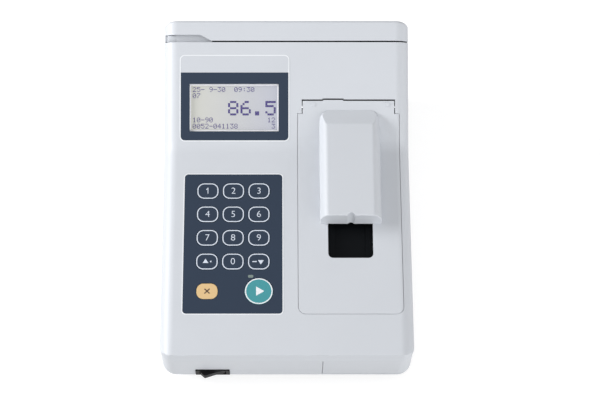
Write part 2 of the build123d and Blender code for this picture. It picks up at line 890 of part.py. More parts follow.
for key in all_keys:
    x, y, size_x, size_y, corner = key_outline(key)
    with BuildPart() as key_pad:
        with BuildSketch(deck.offset(-keypad_pocket)):
            with Locations((x, y)):
                RectangleRounded(size_x, size_y, corner)
        extrude(amount=keypad_pocket + key_proud)
        chamfer(key_pad.faces().sort_by(Axis.Z)[-1].edges(), 0.25)
        with BuildSketch(deck.offset(-key_stem_drop)):
            with Locations((x, y)):
                Circle(key_stem_radius)
        extrude(amount=key_stem_drop - keypad_pocket + 0.2)
    key_pad.part.label = key
    export_step(key_pad.part, f"parts/{key}.step")

dome_top = -3.2
dome_height = 0.9
dome_radius = 3.5
dome_taper = 55
keypad_board_size = (80.0, 122.0)
with BuildPart() as dome_switches:
    for key in all_keys:
        x, y = key_outline(key)[:2]
        with BuildSketch(deck.offset(dome_top - dome_height)):
            with Locations((x, y)):
                Circle(dome_radius)
        extrude(amount=dome_height, taper=dome_taper)
dome_switches.part.label = "dome_switches"
export_step(dome_switches.part, "parts/dome_switches.step")

with BuildPart() as keypad_board:
    with BuildSketch(deck.offset(dome_top - dome_height - board_sheet)):
        with Locations((keypad_x, -keypad_centre)):
            Rectangle(*keypad_board_size)
    extrude(amount=board_sheet)
    # Spacer frame between the board and the housing
    with BuildSketch(deck.offset(dome_top - dome_height)):
        with Locations((keypad_x, -keypad_centre)):
            Rectangle(*keypad_board_size)
            Rectangle(*keypad_opening, mode=Mode.SUBTRACT)
    extrude(amount=dome_height - dome_top - wall)
keypad_board.part.label = "keypad_board"
export_step(keypad_board.part, "parts/keypad_board.step")

with BuildPart() as ready_light:
    with BuildSketch(deck.offset(dome_top - dome_height)):
        with Locations(light_place):
            Rectangle(*light_chip)
    extrude(amount=dome_height - dome_top - keypad_pocket)
    with BuildSketch(deck.offset(-keypad_pocket)):
        with Locations(light_place):
            RectangleRounded(*light_size, light_corner)
    extrude(amount=sheet_thickness)
ready_light.part.label = "ready_light"
export_step(ready_light.part, "parts/ready_light.step")

# Measuring chassis under the cover, with two guide rods for the slide carriage
chassis_front = 100.0
chassis_rear = -8.0
chassis_plate = 1.6
motor_plate_length = 26.0
motor_plate_height = 13.5
shaft_hole_radius = 2.0
rod_height = -8.0
rod_spread = 24.0
rod_radius = 1.5
carriage_width = 34.0
carriage_top = -5.0
carriage_bottom = -11.0
carriage_front = 97.0
carriage_rear = 48.0

rack_module = 0.8
rack_pitch_height = -13.0
rack_x = 62.5
rack_width = 4.0
rack_teeth = 19
pinion_teeth = 14
pinion_radius = rack_module * pinion_teeth / 2
pinion_forward = 53.0
tooth_pitch = rack_module * pi
tooth_addendum = 0.72
tooth_dedendum = 1.0
tooth_slope = tan(radians(20))
tooth_backlash = 0.25
tooth_half = tooth_pitch / 4 - tooth_backlash / 2

rods_plane = Plane(
    origin=deck_point(0, chassis_front + 2, 0), x_dir=(1, 0, 0), z_dir=deck.y_dir
)
chassis_x = (chassis_left_x + chassis_right_x) / 2

with BuildPart() as chassis:
    with BuildSketch(deck.offset(chassis_floor)):
        with Locations((chassis_x, -(chassis_front + chassis_rear) / 2)):
            Rectangle(chassis_right_x - chassis_left_x, chassis_front - chassis_rear)
    extrude(amount=chassis_plate)
    for forward in (chassis_front - chassis_plate / 2, chassis_rear + chassis_plate / 2):
        with BuildSketch(deck.offset(chassis_floor)):
            with Locations((chassis_x, -forward)):
                Rectangle(chassis_right_x - chassis_left_x, chassis_plate)
        extrude(amount=rod_height - chassis_floor + 2.6)
    # Side plate that carries the feed motor
    with BuildSketch(deck.offset(chassis_floor)):
        with Locations((chassis_right_x - chassis_plate / 2, -pinion_forward)):
            Rectangle(chassis_plate, motor_plate_length)
    extrude(amount=motor_plate_height)
    with BuildSketch(rods_plane):
        with Locations((port_x, -rod_height)):
            with GridLocations(rod_spread, 1, 2, 1):
                Circle(rod_radius)
    extrude(amount=chassis_front - chassis_rear + 4, mode=Mode.SUBTRACT)
    shaft_height = rack_pitch_height - pinion_radius
    shaft_centre = deck_point(0, pinion_forward, shaft_height)
    with BuildSketch(Plane.YZ.offset(chassis_right_x - 5)):
        with Locations((shaft_centre.Y, shaft_centre.Z)):
            Circle(shaft_hole_radius)
    extrude(amount=overshoot, mode=Mode.SUBTRACT)
chassis.part.label = "chassis"
export_step(chassis.part, "parts/chassis.step")

with BuildPart() as guide_rods:
    with BuildSketch(rods_plane.offset(2 - 0.4)):
        with Locations((port_x, -rod_height)):
            with GridLocations(rod_spread, 1, 2, 1):
                Circle(rod_radius)
    extrude(amount=chassis_front - chassis_rear + 0.8)
guide_rods.part.label = "guide_rods"
export_step(guide_rods.part, "parts/guide_rods.step")

# Slide carriage: black tray on the rods, with a rack under its right side
slide_seat = (24.4, 28.4)
slide_seat_depth = 1.2
slide_seat_corner = 2.0
slide_seat_from_front = 3.0
with BuildPart() as slide_carriage:
    with BuildSketch(deck.offset(carriage_bottom)) as tray:
        with Locations((port_x, -(carriage_front + carriage_rear) / 2)):
            Rectangle(carriage_width, carriage_front - carriage_rear)
        fillet(tray.vertices().group_by(Axis.Y)[0], port_corner - 0.8)
    extrude(amount=carriage_top - carriage_bottom)
    with BuildSketch(deck.offset(carriage_top - slide_seat_depth)):
        with Locations((port_x, slide_seat_from_front - carriage_front + slide_seat[1] / 2)):
            RectangleRounded(*slide_seat, slide_seat_corner)
    extrude(amount=slide_seat_depth, mode=Mode.SUBTRACT)
    with BuildSketch(rods_plane.offset(-1)):
        with Locations((port_x, -rod_height)):
            with GridLocations(rod_spread, 1, 2, 1):
                Circle(rod_radius + running_gap)
    extrude(amount=chassis_front + overshoot, mode=Mode.SUBTRACT)
    # Rack teeth, point down, with one tooth gap centred over the pinion
    rack_side = Plane(
        origin=deck_point(rack_x - rack_width / 2, pinion_forward, rack_pitch_height),
        x_dir=deck.y_dir,
        z_dir=(1, 0, 0),
    )
    with BuildSketch(rack_side):
        with Locations((pinion_forward - (carriage_front + carriage_rear) / 2, tooth_dedendum)):
            Rectangle(
                carriage_front - carriage_rear - 2,
                carriage_bottom - rack_pitch_height - tooth_dedendum + 0.2,
                align=(Align.CENTER, Align.MIN),
            )
        for index in range(rack_teeth):
            middle = tooth_pitch * (index - rack_teeth + 2.5)
            with BuildLine():
                Polyline(
                    (middle - tooth_half - tooth_dedendum * tooth_slope, tooth_dedendum),
                    (middle - tooth_half + tooth_addendum * tooth_slope, -tooth_addendum),
                    (middle + tooth_half - tooth_addendum * tooth_slope, -tooth_addendum),
                    (middle + tooth_half + tooth_dedendum * tooth_slope, tooth_dedendum),
                    close=True,
                )
            make_face()
    extrude(amount=rack_width)
slide_carriage.part.label = "slide_carriage"
export_step(slide_carriage.part, "parts/slide_carriage.step")

# Black liner that frames the slide port under the cover
liner_gap = 0.5
liner_wall = 2.0
liner_front = chassis_front - 1.7
liner_rear = 30.0
liner_low = -12.0
liner_high = -ledge_drop - 0.4
liner_inside = carriage_width + 2 * liner_gap
liner_inside_front = carriage_front + liner_gap
catch_places = (84.0, 91.5)
catch_size = (1.6, 2.4)
with BuildPart() as port_liner:
    with BuildSketch(deck.offset(liner_low)):
        with Locations((port_x, -(liner_front + liner_rear) / 2)):
            Rectangle(liner_inside + 2 * liner_wall, liner_front - liner_rear)
        with Locations((port_x, -liner_inside_front)):
            Rectangle(
                liner_inside,
                liner_inside_front,
                align=(Align.CENTER, Align.MIN),
                mode=Mode.SUBTRACT,
            )
    extrude(amount=liner_high - liner_low)
    with BuildSketch(rods_plane):
        with Locations((port_x, -rod_height)):
            with GridLocations(rod_spread, 1, 2, 1):
                Circle(rod_radius + 0.3)
    extrude(amount=overshoot, mode=Mode.SUBTRACT)
    # Two small catches on the right wall that show as light ledges
    with BuildSketch(deck.offset(liner_high - 1.4)):
        with Locations([(port_x + liner_inside / 2, -forward) for forward in catch_places]):
            Rectangle(*catch_size)
    extrude(amount=1.0)
port_liner.part.label = "port_liner"
export_step(port_liner.part, "parts/port_liner.step")

# Feed pinion under the rack and the motor that turns it
pinion_root_half = 1.12
pinion_tip_half = 0.2
shaft_radius = 1.5
motor_radius = 8.5
motor_flange = 3.0
motor_length = 14.0
with BuildPart() as feed_pinion:
    shaft_plane = Plane(
        origin=(rack_x - rack_width / 2 + 0.3, shaft_centre.Y, shaft_centre.Z),
        x_dir=deck.y_dir,
        z_dir=(1, 0, 0),
    )
    with BuildSketch(shaft_plane):
        Circle(pinion_radius - tooth_dedendum)
        with PolarLocations(0, pinion_teeth, start_angle=90):
            Polygon(
                (pinion_radius - tooth_dedendum - 0.4, pinion_root_half),
                (pinion_radius, tooth_half),
                (pinion_radius + tooth_addendum, pinion_tip_half),
                (pinion_radius + tooth_addendum, -pinion_tip_half),
                (pinion_radius, -tooth_half),
                (pinion_radius - tooth_dedendum - 0.4, -pinion_root_half),
                align=None,
            )
    extrude(amount=rack_width - 0.6)
    with BuildSketch(shaft_plane):
        Circle(shaft_radius)
    extrude(amount=chassis_right_x - rack_x + rack_width / 2 + 1.4)
feed_pinion.part.label = "feed_pinion"
export_step(feed_pinion.part, "parts/feed_pinion.step")

with BuildPart() as feed_motor:
    motor_plane = Plane(
        origin=(chassis_right_x, shaft_centre.Y, shaft_centre.Z), z_dir=(1, 0, 0)
    )
    with BuildSketch(motor_plane):
        Circle(motor_radius)
        Circle(shaft_radius + 0.3, mode=Mode.SUBTRACT)
    extrude(amount=motor_flange)
    with BuildSketch(motor_plane.offset(motor_flange)):
        Circle(motor_radius)
    extrude(amount=motor_length - motor_flange)
    fillet(feed_motor.edges().sort_by(Axis.X)[-1], 1.0)
feed_motor.part.label = "feed_motor"
export_step(feed_motor.part, "parts/feed_motor.step")

# Heated block under the carriage's rear travel, and the optics below it
optics_x = port_x - 4
block_size = (22.0, 42.0)
block_forward = 20.0
block_gap = 0.8
head_size = (20.0, 26.0)
head_forward = 26.0
head_height = 14.0
lens_radius = 6.0
lens_height = 4.0
with BuildPart() as incubator_block:
    with BuildSketch(deck.offset(chassis_floor + chassis_plate)):
        with Locations((optics_x, -block_forward)):
            Rectangle(*block_size)
    extrude(amount=-chassis_floor - chassis_plate + carriage_bottom - block_gap)
    chamfer(incubator_block.faces().sort_by(Axis.Z)[-1].edges(), 0.8)
incubator_block.part.label = "incubator_block"
export_step(incubator_block.part, "parts/incubator_block.step")

with BuildPart() as photometer_head:
    with BuildSketch(deck.offset(chassis_floor - head_height)):
        with Locations((optics_x, -head_forward)):
            RectangleRounded(*head_size, 3)
    extrude(amount=head_height)
    with BuildSketch(deck.offset(chassis_floor - head_height - lens_height)):
        with Locations((optics_x, -head_forward)):
            Circle(lens_radius)
    extrude(amount=lens_height + 1)
photometer_head.part.label = "photometer_head"
export_step(photometer_head.part, "parts/photometer_head.step")

# Main board on its standoffs, with its chips and connectors: x, y, width, depth, height
board_parts = (
    (-50, 30, 24, 24, 2.2),
    (-16, 34, 12, 18, 2.2),
    (-16, 6, 14, 10, 2.2),
    (-74, -16, 16, 6, 7.8),
    (-40, -22, 16, 6, 7.8),
    (0, 74, 16, 6, 7.8),
)
board_top_z = board_z + board_thickness
battery_place = (-74, 62, board_top_z)
battery_size = (10.0, 4.0)
buzzer_place = (-76, 12, board_top_z)
buzzer_size = (6.0, 8.0)
buzzer_hole_radius = 1.2
with BuildPart() as main_board:
    with BuildSketch(Plane.XY.offset(board_z)):
        with Locations((board_left_x, board_front_y)):
            Rectangle(
                board_right_x - board_left_x,
                board_rear_y - board_front_y,
                align=(Align.MIN, Align.MIN),
            )
    extrude(amount=board_thickness)
    for part_x, part_y, part_width, part_depth, part_height in board_parts:
        with Locations((part_x, part_y, board_top_z - 0.2)):
            Box(part_width, part_depth, part_height + 0.2, align=from_below)
main_board.part.label = "main_board"
export_step(main_board.part, "parts/main_board.step")

with BuildPart() as backup_battery:
    with Locations(battery_place):
        Cylinder(*battery_size, align=from_below)
    chamfer(backup_battery.edges().sort_by(Axis.Z)[-1], 0.6)
backup_battery.part.label = "backup_battery"
export_step(backup_battery.part, "parts/backup_battery.step")

with BuildPart() as buzzer:
    with Locations(buzzer_place):
        Cylinder(*buzzer_size, align=from_below)
        Cylinder(buzzer_hole_radius, 2 * buzzer_size[1], mode=Mode.SUBTRACT, align=from_below)
buzzer.part.label = "buzzer"
export_step(buzzer.part, "parts/buzzer.step")

# Printer bay: liner, frame with its cradle, head, platen, gears, motor and paper roll
roll_y = 108.0
roll_z = 79.0
roll_radius = 15.0
roll_width = 57.5
core_radius = 6.0
cradle_radius = 15.8
bay_front_y = 88.0
bay_rear_y = 131.5
bay_front_top = 90.0
bay_floor_z = 60.0
bay_wall = 1.5
bay_half = 95.0

with BuildPart() as paper_bay:
    with BuildSketch(Plane.YZ) as liner:
        with Locations((bay_front_y - bay_wall, bay_floor_z - bay_wall)):
            Rectangle(
                bay_rear_y - bay_front_y + bay_wall, bay_wall, align=(Align.MIN, Align.MIN)
            )
            Rectangle(
                bay_wall, bay_front_top - bay_floor_z + bay_wall, align=(Align.MIN, Align.MIN)
            )
    extrude(amount=bay_half, both=True)
    add(upper_form(wall + 0.1), mode=Mode.INTERSECT)
paper_bay.part.label = "paper_bay"
export_step(paper_bay.part, "parts/paper_bay.step")

frame_half = 31.0
frame_wall = 1.6
platen_y = 121.6
platen_z = 107.0
platen_radius = 4.0
platen_axle = 1.5
gear_module = 0.5
gear_addendum = 0.42
gear_dedendum = 0.62
gear_tip_half = 0.16
gear_axle = 1.0
motor_axle = 0.8
platen_teeth = 18
idler_teeth = 24
motor_teeth = 12
gear_x = 38.0
gear_width = 2.4

cradle_foot = (12.0, 4.0)
cheek_outline = (
    (90.0, bay_floor_z),
    (90.0, 93.0),
    (111.0, 106.0),
    (117.4, 106.0),
    (117.4, 98.0),
    (126.0, 92.0),
    (126.0, bay_floor_z),
)
with BuildPart() as printer_frame:
    # Cradle: a half round trough under the roll
    with BuildSketch(Plane.YZ):
        with Locations((roll_y, roll_z)):
            Circle(cradle_radius + frame_wall)
            Rectangle(
                4 * cradle_radius,
                2 * cradle_radius,
                align=(Align.CENTER, Align.MIN),
                mode=Mode.SUBTRACT,
            )
        with Locations((roll_y, bay_floor_z)):
            Rectangle(*cradle_foot, align=(Align.CENTER, Align.MIN))
        with Locations((roll_y, roll_z)):
            Circle(cradle_radius, mode=Mode.SUBTRACT)
    extrude(amount=frame_half, both=True)
    for side in (-1, 1):
        with BuildSketch(Plane.YZ.offset(side * (frame_half + frame_wall / 2))):
            with BuildLine():
                Polyline(*cheek_outline, close=True)
            make_face()
        extrude(amount=frame_wall / 2, both=True)
printer_frame.part.label = "printer_frame"
export_step(printer_frame.part, "parts/printer_frame.step")

head_place = (0, 115.0, 102.0)
head_block = (2 * frame_half, 3.2, 8.0)
fin_place = (0, 113.0, 102.0)
fin_size = (2.0, 3.0, 7.0)
fin_count = 9
fin_spacing = 6.0
with BuildPart() as thermal_head:
    with Locations(head_place):
        Box(*head_block)
    with Locations(fin_place):
        with GridLocations(fin_spacing, 1, fin_count, 1):
            Box(*fin_size)
thermal_head.part.label = "thermal_head"
export_step(thermal_head.part, "parts/thermal_head.step")

# Serrated bar behind the head that the paper is torn off against
bar_y = 115.4
bar_thickness = 0.5
bar_low = 106.0
bar_high = 109.4
bar_tooth = 2.0
bar_half = 28.0
with BuildPart() as tear_bar:
    with BuildSketch(Plane.XZ.offset(-bar_y)):
        with Locations((0, bar_low)):
            Rectangle(2 * bar_half, bar_high - bar_low, align=(Align.CENTER, Align.MIN))
        with Locations((0, bar_high)):
            with GridLocations(bar_tooth, 1, round(2 * bar_half / bar_tooth), 1):
                Polygon((-bar_tooth / 2, -0.1), (0, 1.0), (bar_tooth / 2, -0.1), align=None)
    extrude(amount=bar_thickness)
tear_bar.part.label = "tear_bar"
export_step(tear_bar.part, "parts/tear_bar.step")


def gear_outline(teeth, start):
    """A small spur gear's face about the origin, with one tooth at the start angle."""
    pitch_radius = gear_module * teeth / 2
    half_tooth = pi * gear_module / 4 - running_gap
    with BuildSketch() as gear:
        Circle(pitch_radius - gear_dedendum)
        with PolarLocations(0, teeth, start_angle=start):
            Polygon(
                (pitch_radius - gear_dedendum - 0.2, half_tooth + 0.2),
                (pitch_radius, half_tooth),
                (pitch_radius + gear_addendum, gear_tip_half),
                (pitch_radius + gear_addendum, -gear_tip_half),
                (pitch_radius, -half_tooth),
                (pitch_radius - gear_dedendum - 0.2, -half_tooth - 0.2),
                align=None,
            )
    return gear.sketch


def gear_plane(y, z):
    """The inner face of the printer's gear train at one gear's centre."""
    return Plane(
        origin=(gear_x - gear_width / 2, y, z), x_dir=(0, 1, 0), z_dir=(1, 0, 0)
    )


platen_gear_radius = gear_module * platen_teeth / 2
idler_radius = gear_module * idler_teeth / 2
motor_gear_radius = gear_module * motor_teeth / 2
train_angle = 214.0
idler_y = platen_y + (platen_gear_radius + idler_radius) * cos(radians(train_angle))
idler_z = platen_z + (platen_gear_radius + idler_radius) * sin(radians(train_angle))
motor_angle = 270.0
motor_y = idler_y + (idler_radius + motor_gear_radius) * cos(radians(motor_angle))
motor_z = idler_z + (idler_radius + motor_gear_radius) * sin(radians(motor_angle))

# Each gear starts with a gap where the tooth of the gear before it stands
idler_start = train_angle + 180 + 180 / idler_teeth
teeth_between = (motor_angle - idler_start) * idler_teeth / 360
tooth_shift = teeth_between - round(teeth_between) + 0.5
motor_start = motor_angle + 180 + tooth_shift * 360 / motor_teeth

with BuildPart() as platen_roller:
    with BuildSketch(Plane.YZ):
        with Locations((platen_y, platen_z)):
            Circle(platen_radius)
    extrude(amount=frame_half - 2, both=True)
    with BuildSketch(Plane.YZ):
        with Locations((platen_y, platen_z)):
            Circle(platen_axle)
    extrude(amount=gear_x + 3, both=True)
platen_roller.part.label = "platen_roller"
export_step(platen_roller.part, "parts/platen_roller.step")

with BuildPart() as platen_gear:
    with BuildSketch(gear_plane(platen_y, platen_z)):
        add(gear_outline(platen_teeth, train_angle))
        Circle(platen_axle, mode=Mode.SUBTRACT)
    extrude(amount=gear_width)
platen_gear.part.label = "platen_gear"
export_step(platen_gear.part, "parts/platen_gear.step")

with BuildPart() as idler_gear:
    with BuildSketch(gear_plane(idler_y, idler_z)):
        add(gear_outline(idler_teeth, idler_start))
        Circle(gear_axle + running_gap, mode=Mode.SUBTRACT)
    extrude(amount=gear_width)
idler_gear.part.label = "idler_gear"
export_step(idler_gear.part, "parts/idler_gear.step")

with BuildPart() as motor_gear:
    with BuildSketch(gear_plane(motor_y, motor_z)):
        add(gear_outline(motor_teeth, motor_start))
    extrude(amount=gear_width)
    with BuildSketch(Plane.YZ.offset(gear_x - gear_width / 2 + 0.2)):
        with Locations((motor_y, motor_z)):
            Circle(motor_axle)
    extrude(amount=-4.2)
motor_gear.part.label = "motor_gear"
export_step(motor_gear.part, "parts/motor_gear.step")

gear_plate_x = frame_half + frame_wall
gear_plate_thickness = 2.4
gear_plate_radius = 3.0
printer_motor_radius = 6.0
with BuildPart() as printer_motor:
    with BuildSketch(Plane.YZ.offset(gear_plate_x)):
        with Locations((idler_y, idler_z)):
            Circle(gear_plate_radius)
        with Locations(((idler_y + motor_y) / 2, (idler_z + motor_z) / 2)):
            Rectangle(2 * gear_plate_radius, idler_z - motor_z)
        with Locations((motor_y, motor_z)):
            Circle(printer_motor_radius)
            Circle(motor_axle + 0.2, mode=Mode.SUBTRACT)
    extrude(amount=gear_plate_thickness)
    # Axle that the idler turns on
    with BuildSketch(Plane.YZ.offset(gear_plate_x + 1)):
        with Locations((idler_y, idler_z)):
            Circle(gear_axle)
    extrude(amount=gear_x + gear_width / 2 - gear_plate_x - 1 + 0.8)
printer_motor.part.label = "printer_motor"
export_step(printer_motor.part, "parts/printer_motor.step")

with BuildPart() as paper_roll:
    with BuildSketch(Plane.YZ):
        with Locations((roll_y, roll_z)):
            Circle(roll_radius)
            Circle(core_radius, mode=Mode.SUBTRACT)
    extrude(amount=roll_width / 2, both=True)
paper_roll.part.label = "paper_roll"
export_step(paper_roll.part, "parts/paper_roll.step")

# Brackets under the lid that carry the platen's axle
bracket_x = frame_half + 3.2
bracket_half = 0.9
bracket_radius = 3.0
bracket_bar_above = 5.2
with BuildPart() as platen_bracket:
    for side in (-1, 1):
        with BuildSketch(Plane.YZ.offset(side * bracket_x)):
            with Locations((platen_y, platen_z)):
                Circle(bracket_radius)
                Rectangle(2 * bracket_radius, 20, align=(Align.CENTER, Align.MIN))
                Circle(platen_axle + running_gap, mode=Mode.SUBTRACT)
        extrude(amount=bracket_half, both=True)
    with BuildSketch(Plane.YZ):
        with Locations((platen_y, platen_z + bracket_bar_above)):
            Rectangle(2 * bracket_radius, 15, align=(Align.CENTER, Align.MIN))
    extrude(amount=bracket_x + bracket_half, both=True)
    split(bisect_by=slope.offset(-wall), keep=Keep.BOTTOM)
platen_bracket.part.label = "platen_bracket"
export_step(platen_bracket.part, "parts/platen_bracket.step")

# Waste drawer: front that wraps the right corner, and its lift-out bin
rib_places = (42.0, 82.0)
rib_low = 16.0
with BuildPart() as drawer_front:
    add(outer_lower)
    add(inner_lower, mode=Mode.SUBTRACT)
    with Locations((drawer_left_x + seam, front_y - overshoot, drawer_floor_z + seam)):
        Box(
            half + overshoot - drawer_left_x,
            drawer_back_y - front_y + overshoot - seam,
            parting_z - drawer_floor_z - 2 * seam,
            align=(Align.MIN, Align.MIN, Align.MIN),
            mode=Mode.INTERSECT,
        )
    # Ribs that join the front to the bin
    for rib_x in rib_places:
        with BuildSketch(Plane.YZ.offset(rib_x)):
            with BuildLine():
                Polyline(
                    (front_y + 5, bin_top_z),
                    (bin_front_y, bin_top_z),
                    (bin_front_y, rib_low),
                    (front_y + 8, rib_low),
                    close=True,
                )
            make_face()
        extrude(amount=1.0, both=True)
    add(outer_lower, mode=Mode.INTERSECT)
drawer_front.part.label = "drawer_front"
export_step(drawer_front.part, "parts/drawer_front.step")

with BuildPart() as waste_bin:
    with Locations(((bin_left_x + bin_right_x) / 2, bin_front_y, bin_floor_z)):
        Box(
            bin_right_x - bin_left_x,
            bin_rear_y - bin_front_y,
            bin_top_z - bin_floor_z,
            align=(Align.CENTER, Align.MIN, Align.MIN),
        )
    fillet(waste_bin.edges().filter_by(Axis.Z), bin_corner)
    offset(amount=-bin_wall, openings=waste_bin.faces().sort_by(Axis.Z)[-1])
waste_bin.part.label = "waste_bin"
export_step(waste_bin.part, "parts/waste_bin.step")

# Power switch: housing through the undercut face, and its rocker
rocker_length = 19.2
rocker_height = 7.4
rocker_pivot = -2.0
rocker_outline = (
    (-rocker_length / 2, 2.4),
    (-rocker_length / 2, -3.6),
    (-6.3, -6.6),
    (3.0, -3.6),
    (rocker_length / 2, -2.6),
    (rocker_length / 2, 2.4),
)
bezel_corner = 0.8
bezel_thickness = 1.0
switch_depth = 16.0
switch_well = 9.0
with BuildPart() as switch_housing:
    with BuildSketch(lower_face):
        with Locations((switch_x, -switch_down)):
            RectangleRounded(*switch_bezel, bezel_corner)
    extrude(amount=bezel_thickness)
    with BuildSketch(lower_face.offset(-switch_depth)):
        with Locations((switch_x, -switch_down)):
            Rectangle(*switch_body)
    extrude(amount=switch_depth)
    with BuildSketch(lower_face.offset(-switch_well)):
        with Locations((switch_x, -switch_down)):
            Rectangle(rocker_length + 1.6, rocker_height + 0.6)
    extrude(amount=switch_well + overshoot, mode=Mode.SUBTRACT)
    pivot_plane = Plane(
        origin=lower_face.from_local_coords(Vector(switch_x, -switch_down, rocker_pivot)),
        x_dir=(1, 0, 0),
        z_dir=lower_face.y_dir,
    )
    with BuildSketch(pivot_plane):
        Circle(gear_axle + running_gap)
    extrude(amount=rocker_height / 2 + 1.0, both=True, mode=Mode.SUBTRACT)
switch_housing.part.label = "switch_housing"
export_step(switch_housing.part, "parts/switch_housing.step")

with BuildPart() as power_rocker:
    with BuildSketch(pivot_plane) as rocker:
        with BuildLine():
            Polyline(*rocker_outline, close=True)
        make_face()
        fillet(rocker.vertices().sort_by(Axis.X)[2:4], 1.2)
    extrude(amount=rocker_height / 2, both=True)
    with BuildSketch(pivot_plane):
        Circle(gear_axle)
    extrude(amount=rocker_height / 2 + 0.9, both=True)
power_rocker.part.label = "power_rocker"
export_step(power_rocker.part, "parts/power_rocker.step")

# Power inlet in the rear wall
inlet_depth = 14.0
inlet_bore = 10.0
inlet_bore_radius = 3.2
inlet_pin_radius = 1.0
with BuildPart() as dc_inlet:
    with BuildSketch(Plane.XZ.offset(lower_inset - rear_y)):
        with Locations((inlet_x, inlet_z)):
            Rectangle(*inlet_size)
    extrude(amount=inlet_depth)
    with BuildSketch(Plane.XZ.offset(lower_inset - rear_y)):
        with Locations((inlet_x, inlet_z)):
            Circle(inlet_bore_radius)
            Circle(inlet_pin_radius, mode=Mode.SUBTRACT)
    extrude(amount=inlet_bore, mode=Mode.SUBTRACT)
dc_inlet.part.label = "dc_inlet"
export_step(dc_inlet.part, "parts/dc_inlet.step")

# Feet and case screws
foot_flare = 1.2
screw_gap = 0.4
with BuildPart() as rubber_feet:
    with Locations([(x, y, 0) for x, y in foot_places]):
        Cone(foot_radius - foot_flare, foot_radius, foot_height, align=from_below)
rubber_feet.part.label = "rubber_feet"
export_step(rubber_feet.part, "parts/rubber_feet.step")

with BuildPart() as case_screws:
    with Locations([(x, y, foot_height + screw_gap) for x, y in post_places]):
        Cylinder(screw_head_radius, screw_head_height, align=from_below)
        Cylinder(
            screw_radius - 2 * running_gap,
            parting_z - foot_height + screw_bite - 2,
            align=from_below,
        )
case_screws.part.label = "case_screws"
export_step(case_screws.part, "parts/case_screws.step")
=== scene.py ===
import math

import bpy
from mathutils import Matrix, Vector


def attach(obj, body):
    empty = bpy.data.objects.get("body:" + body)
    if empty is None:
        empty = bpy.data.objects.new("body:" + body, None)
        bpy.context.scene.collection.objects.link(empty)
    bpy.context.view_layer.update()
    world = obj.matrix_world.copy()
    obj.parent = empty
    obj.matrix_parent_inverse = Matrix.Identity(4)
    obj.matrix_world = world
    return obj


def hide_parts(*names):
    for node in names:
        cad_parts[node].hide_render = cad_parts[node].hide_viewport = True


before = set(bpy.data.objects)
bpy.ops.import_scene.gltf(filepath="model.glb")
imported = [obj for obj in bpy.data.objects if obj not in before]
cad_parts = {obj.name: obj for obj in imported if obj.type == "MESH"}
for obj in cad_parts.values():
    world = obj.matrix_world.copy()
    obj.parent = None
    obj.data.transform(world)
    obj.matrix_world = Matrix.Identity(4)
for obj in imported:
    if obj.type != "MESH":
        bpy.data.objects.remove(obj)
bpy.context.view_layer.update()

# Camera
# The photograph was taken from above the front with a long lens, a little left of the picture's middle.
# Its place and direction follow from how the housing's sides converge towards the front.
camera_tilt = math.radians(60.3)
camera_place = (-0.0101, -0.8205, 1.4982)
camera_lens = 123.6
camera_sensor = 36.0
camera_shift = 0.0433
camera_reach = 20.0
camera_data = bpy.data.cameras.new("camera")
camera_data.lens = camera_lens
camera_data.sensor_width = camera_sensor
camera_data.shift_x = camera_shift
camera_data.clip_end = camera_reach
camera = bpy.data.objects.new("camera", camera_data)
camera.location = camera_place
camera.rotation_euler = (math.radians(90) - camera_tilt, 0, 0)
bpy.context.scene.collection.objects.link(camera)
bpy.context.scene.camera = camera
bpy.context.scene.view_settings.view_transform = "Standard"

# White table
# A plain white table under the instrument, which shows as white except where the shadow falls.
# Eyes and reflections see a little of its own light on it, and the shadow stays in the rest.
table_half = 4.0
table_drop = 0.0004
table_tone = 0.42
table_roughness = 0.7
table_gloss = 0.2
table_glow = 0.7


def seen_mask(tree):
    """A value that is 1 for eyes, reflections and glass, and 0 for the light that falls on things."""
    path = tree.nodes.new("ShaderNodeLightPath")
    direct = tree.nodes.new("ShaderNodeMath")
    direct.operation = "MAXIMUM"
    mask = tree.nodes.new("ShaderNodeMath")
    mask.operation = "MAXIMUM"
    tree.links.new(path.outputs["Is Camera Ray"], direct.inputs[0])
    tree.links.new(path.outputs["Is Glossy Ray"], direct.inputs[1])
    tree.links.new(direct.outputs["Value"], mask.inputs[0])
    tree.links.new(path.outputs["Is Transmission Ray"], mask.inputs[1])
    return mask.outputs["Value"]


bpy.ops.object.select_all(action="DESELECT")
bpy.ops.mesh.primitive_plane_add(size=2 * table_half, location=(0, 0, -table_drop))
table = bpy.context.object
table.name = "white_table"
table_material = bpy.data.materials.new("white_table")
table_material.use_nodes = True
table_nodes = table_material.node_tree.nodes
table_links = table_material.node_tree.links
table_shader = table_nodes["Principled BSDF"]
table_shader.inputs["Base Color"].default_value = (table_tone, table_tone, table_tone, 1)
table_shader.inputs["Roughness"].default_value = table_roughness
table_shader.inputs["Specular IOR Level"].default_value = table_gloss
table_light = table_nodes.new("ShaderNodeEmission")
table_light.inputs["Strength"].default_value = table_glow
table_sum = table_nodes.new("ShaderNodeAddShader")
table_mix = table_nodes.new("ShaderNodeMixShader")
table_out = table_nodes["Material Output"]
table_links.new(table_shader.outputs["BSDF"], table_sum.inputs[0])
table_links.new(table_light.outputs["Emission"], table_sum.inputs[1])
table_links.new(seen_mask(table_material.node_tree), table_mix.inputs["Fac"])
table_links.new(table_shader.outputs["BSDF"], table_mix.inputs[1])
table_links.new(table_sum.outputs["Shader"], table_mix.inputs[2])
table_links.new(table_mix.outputs["Shader"], table_out.inputs["Surface"])
table.data.materials.append(table_material)

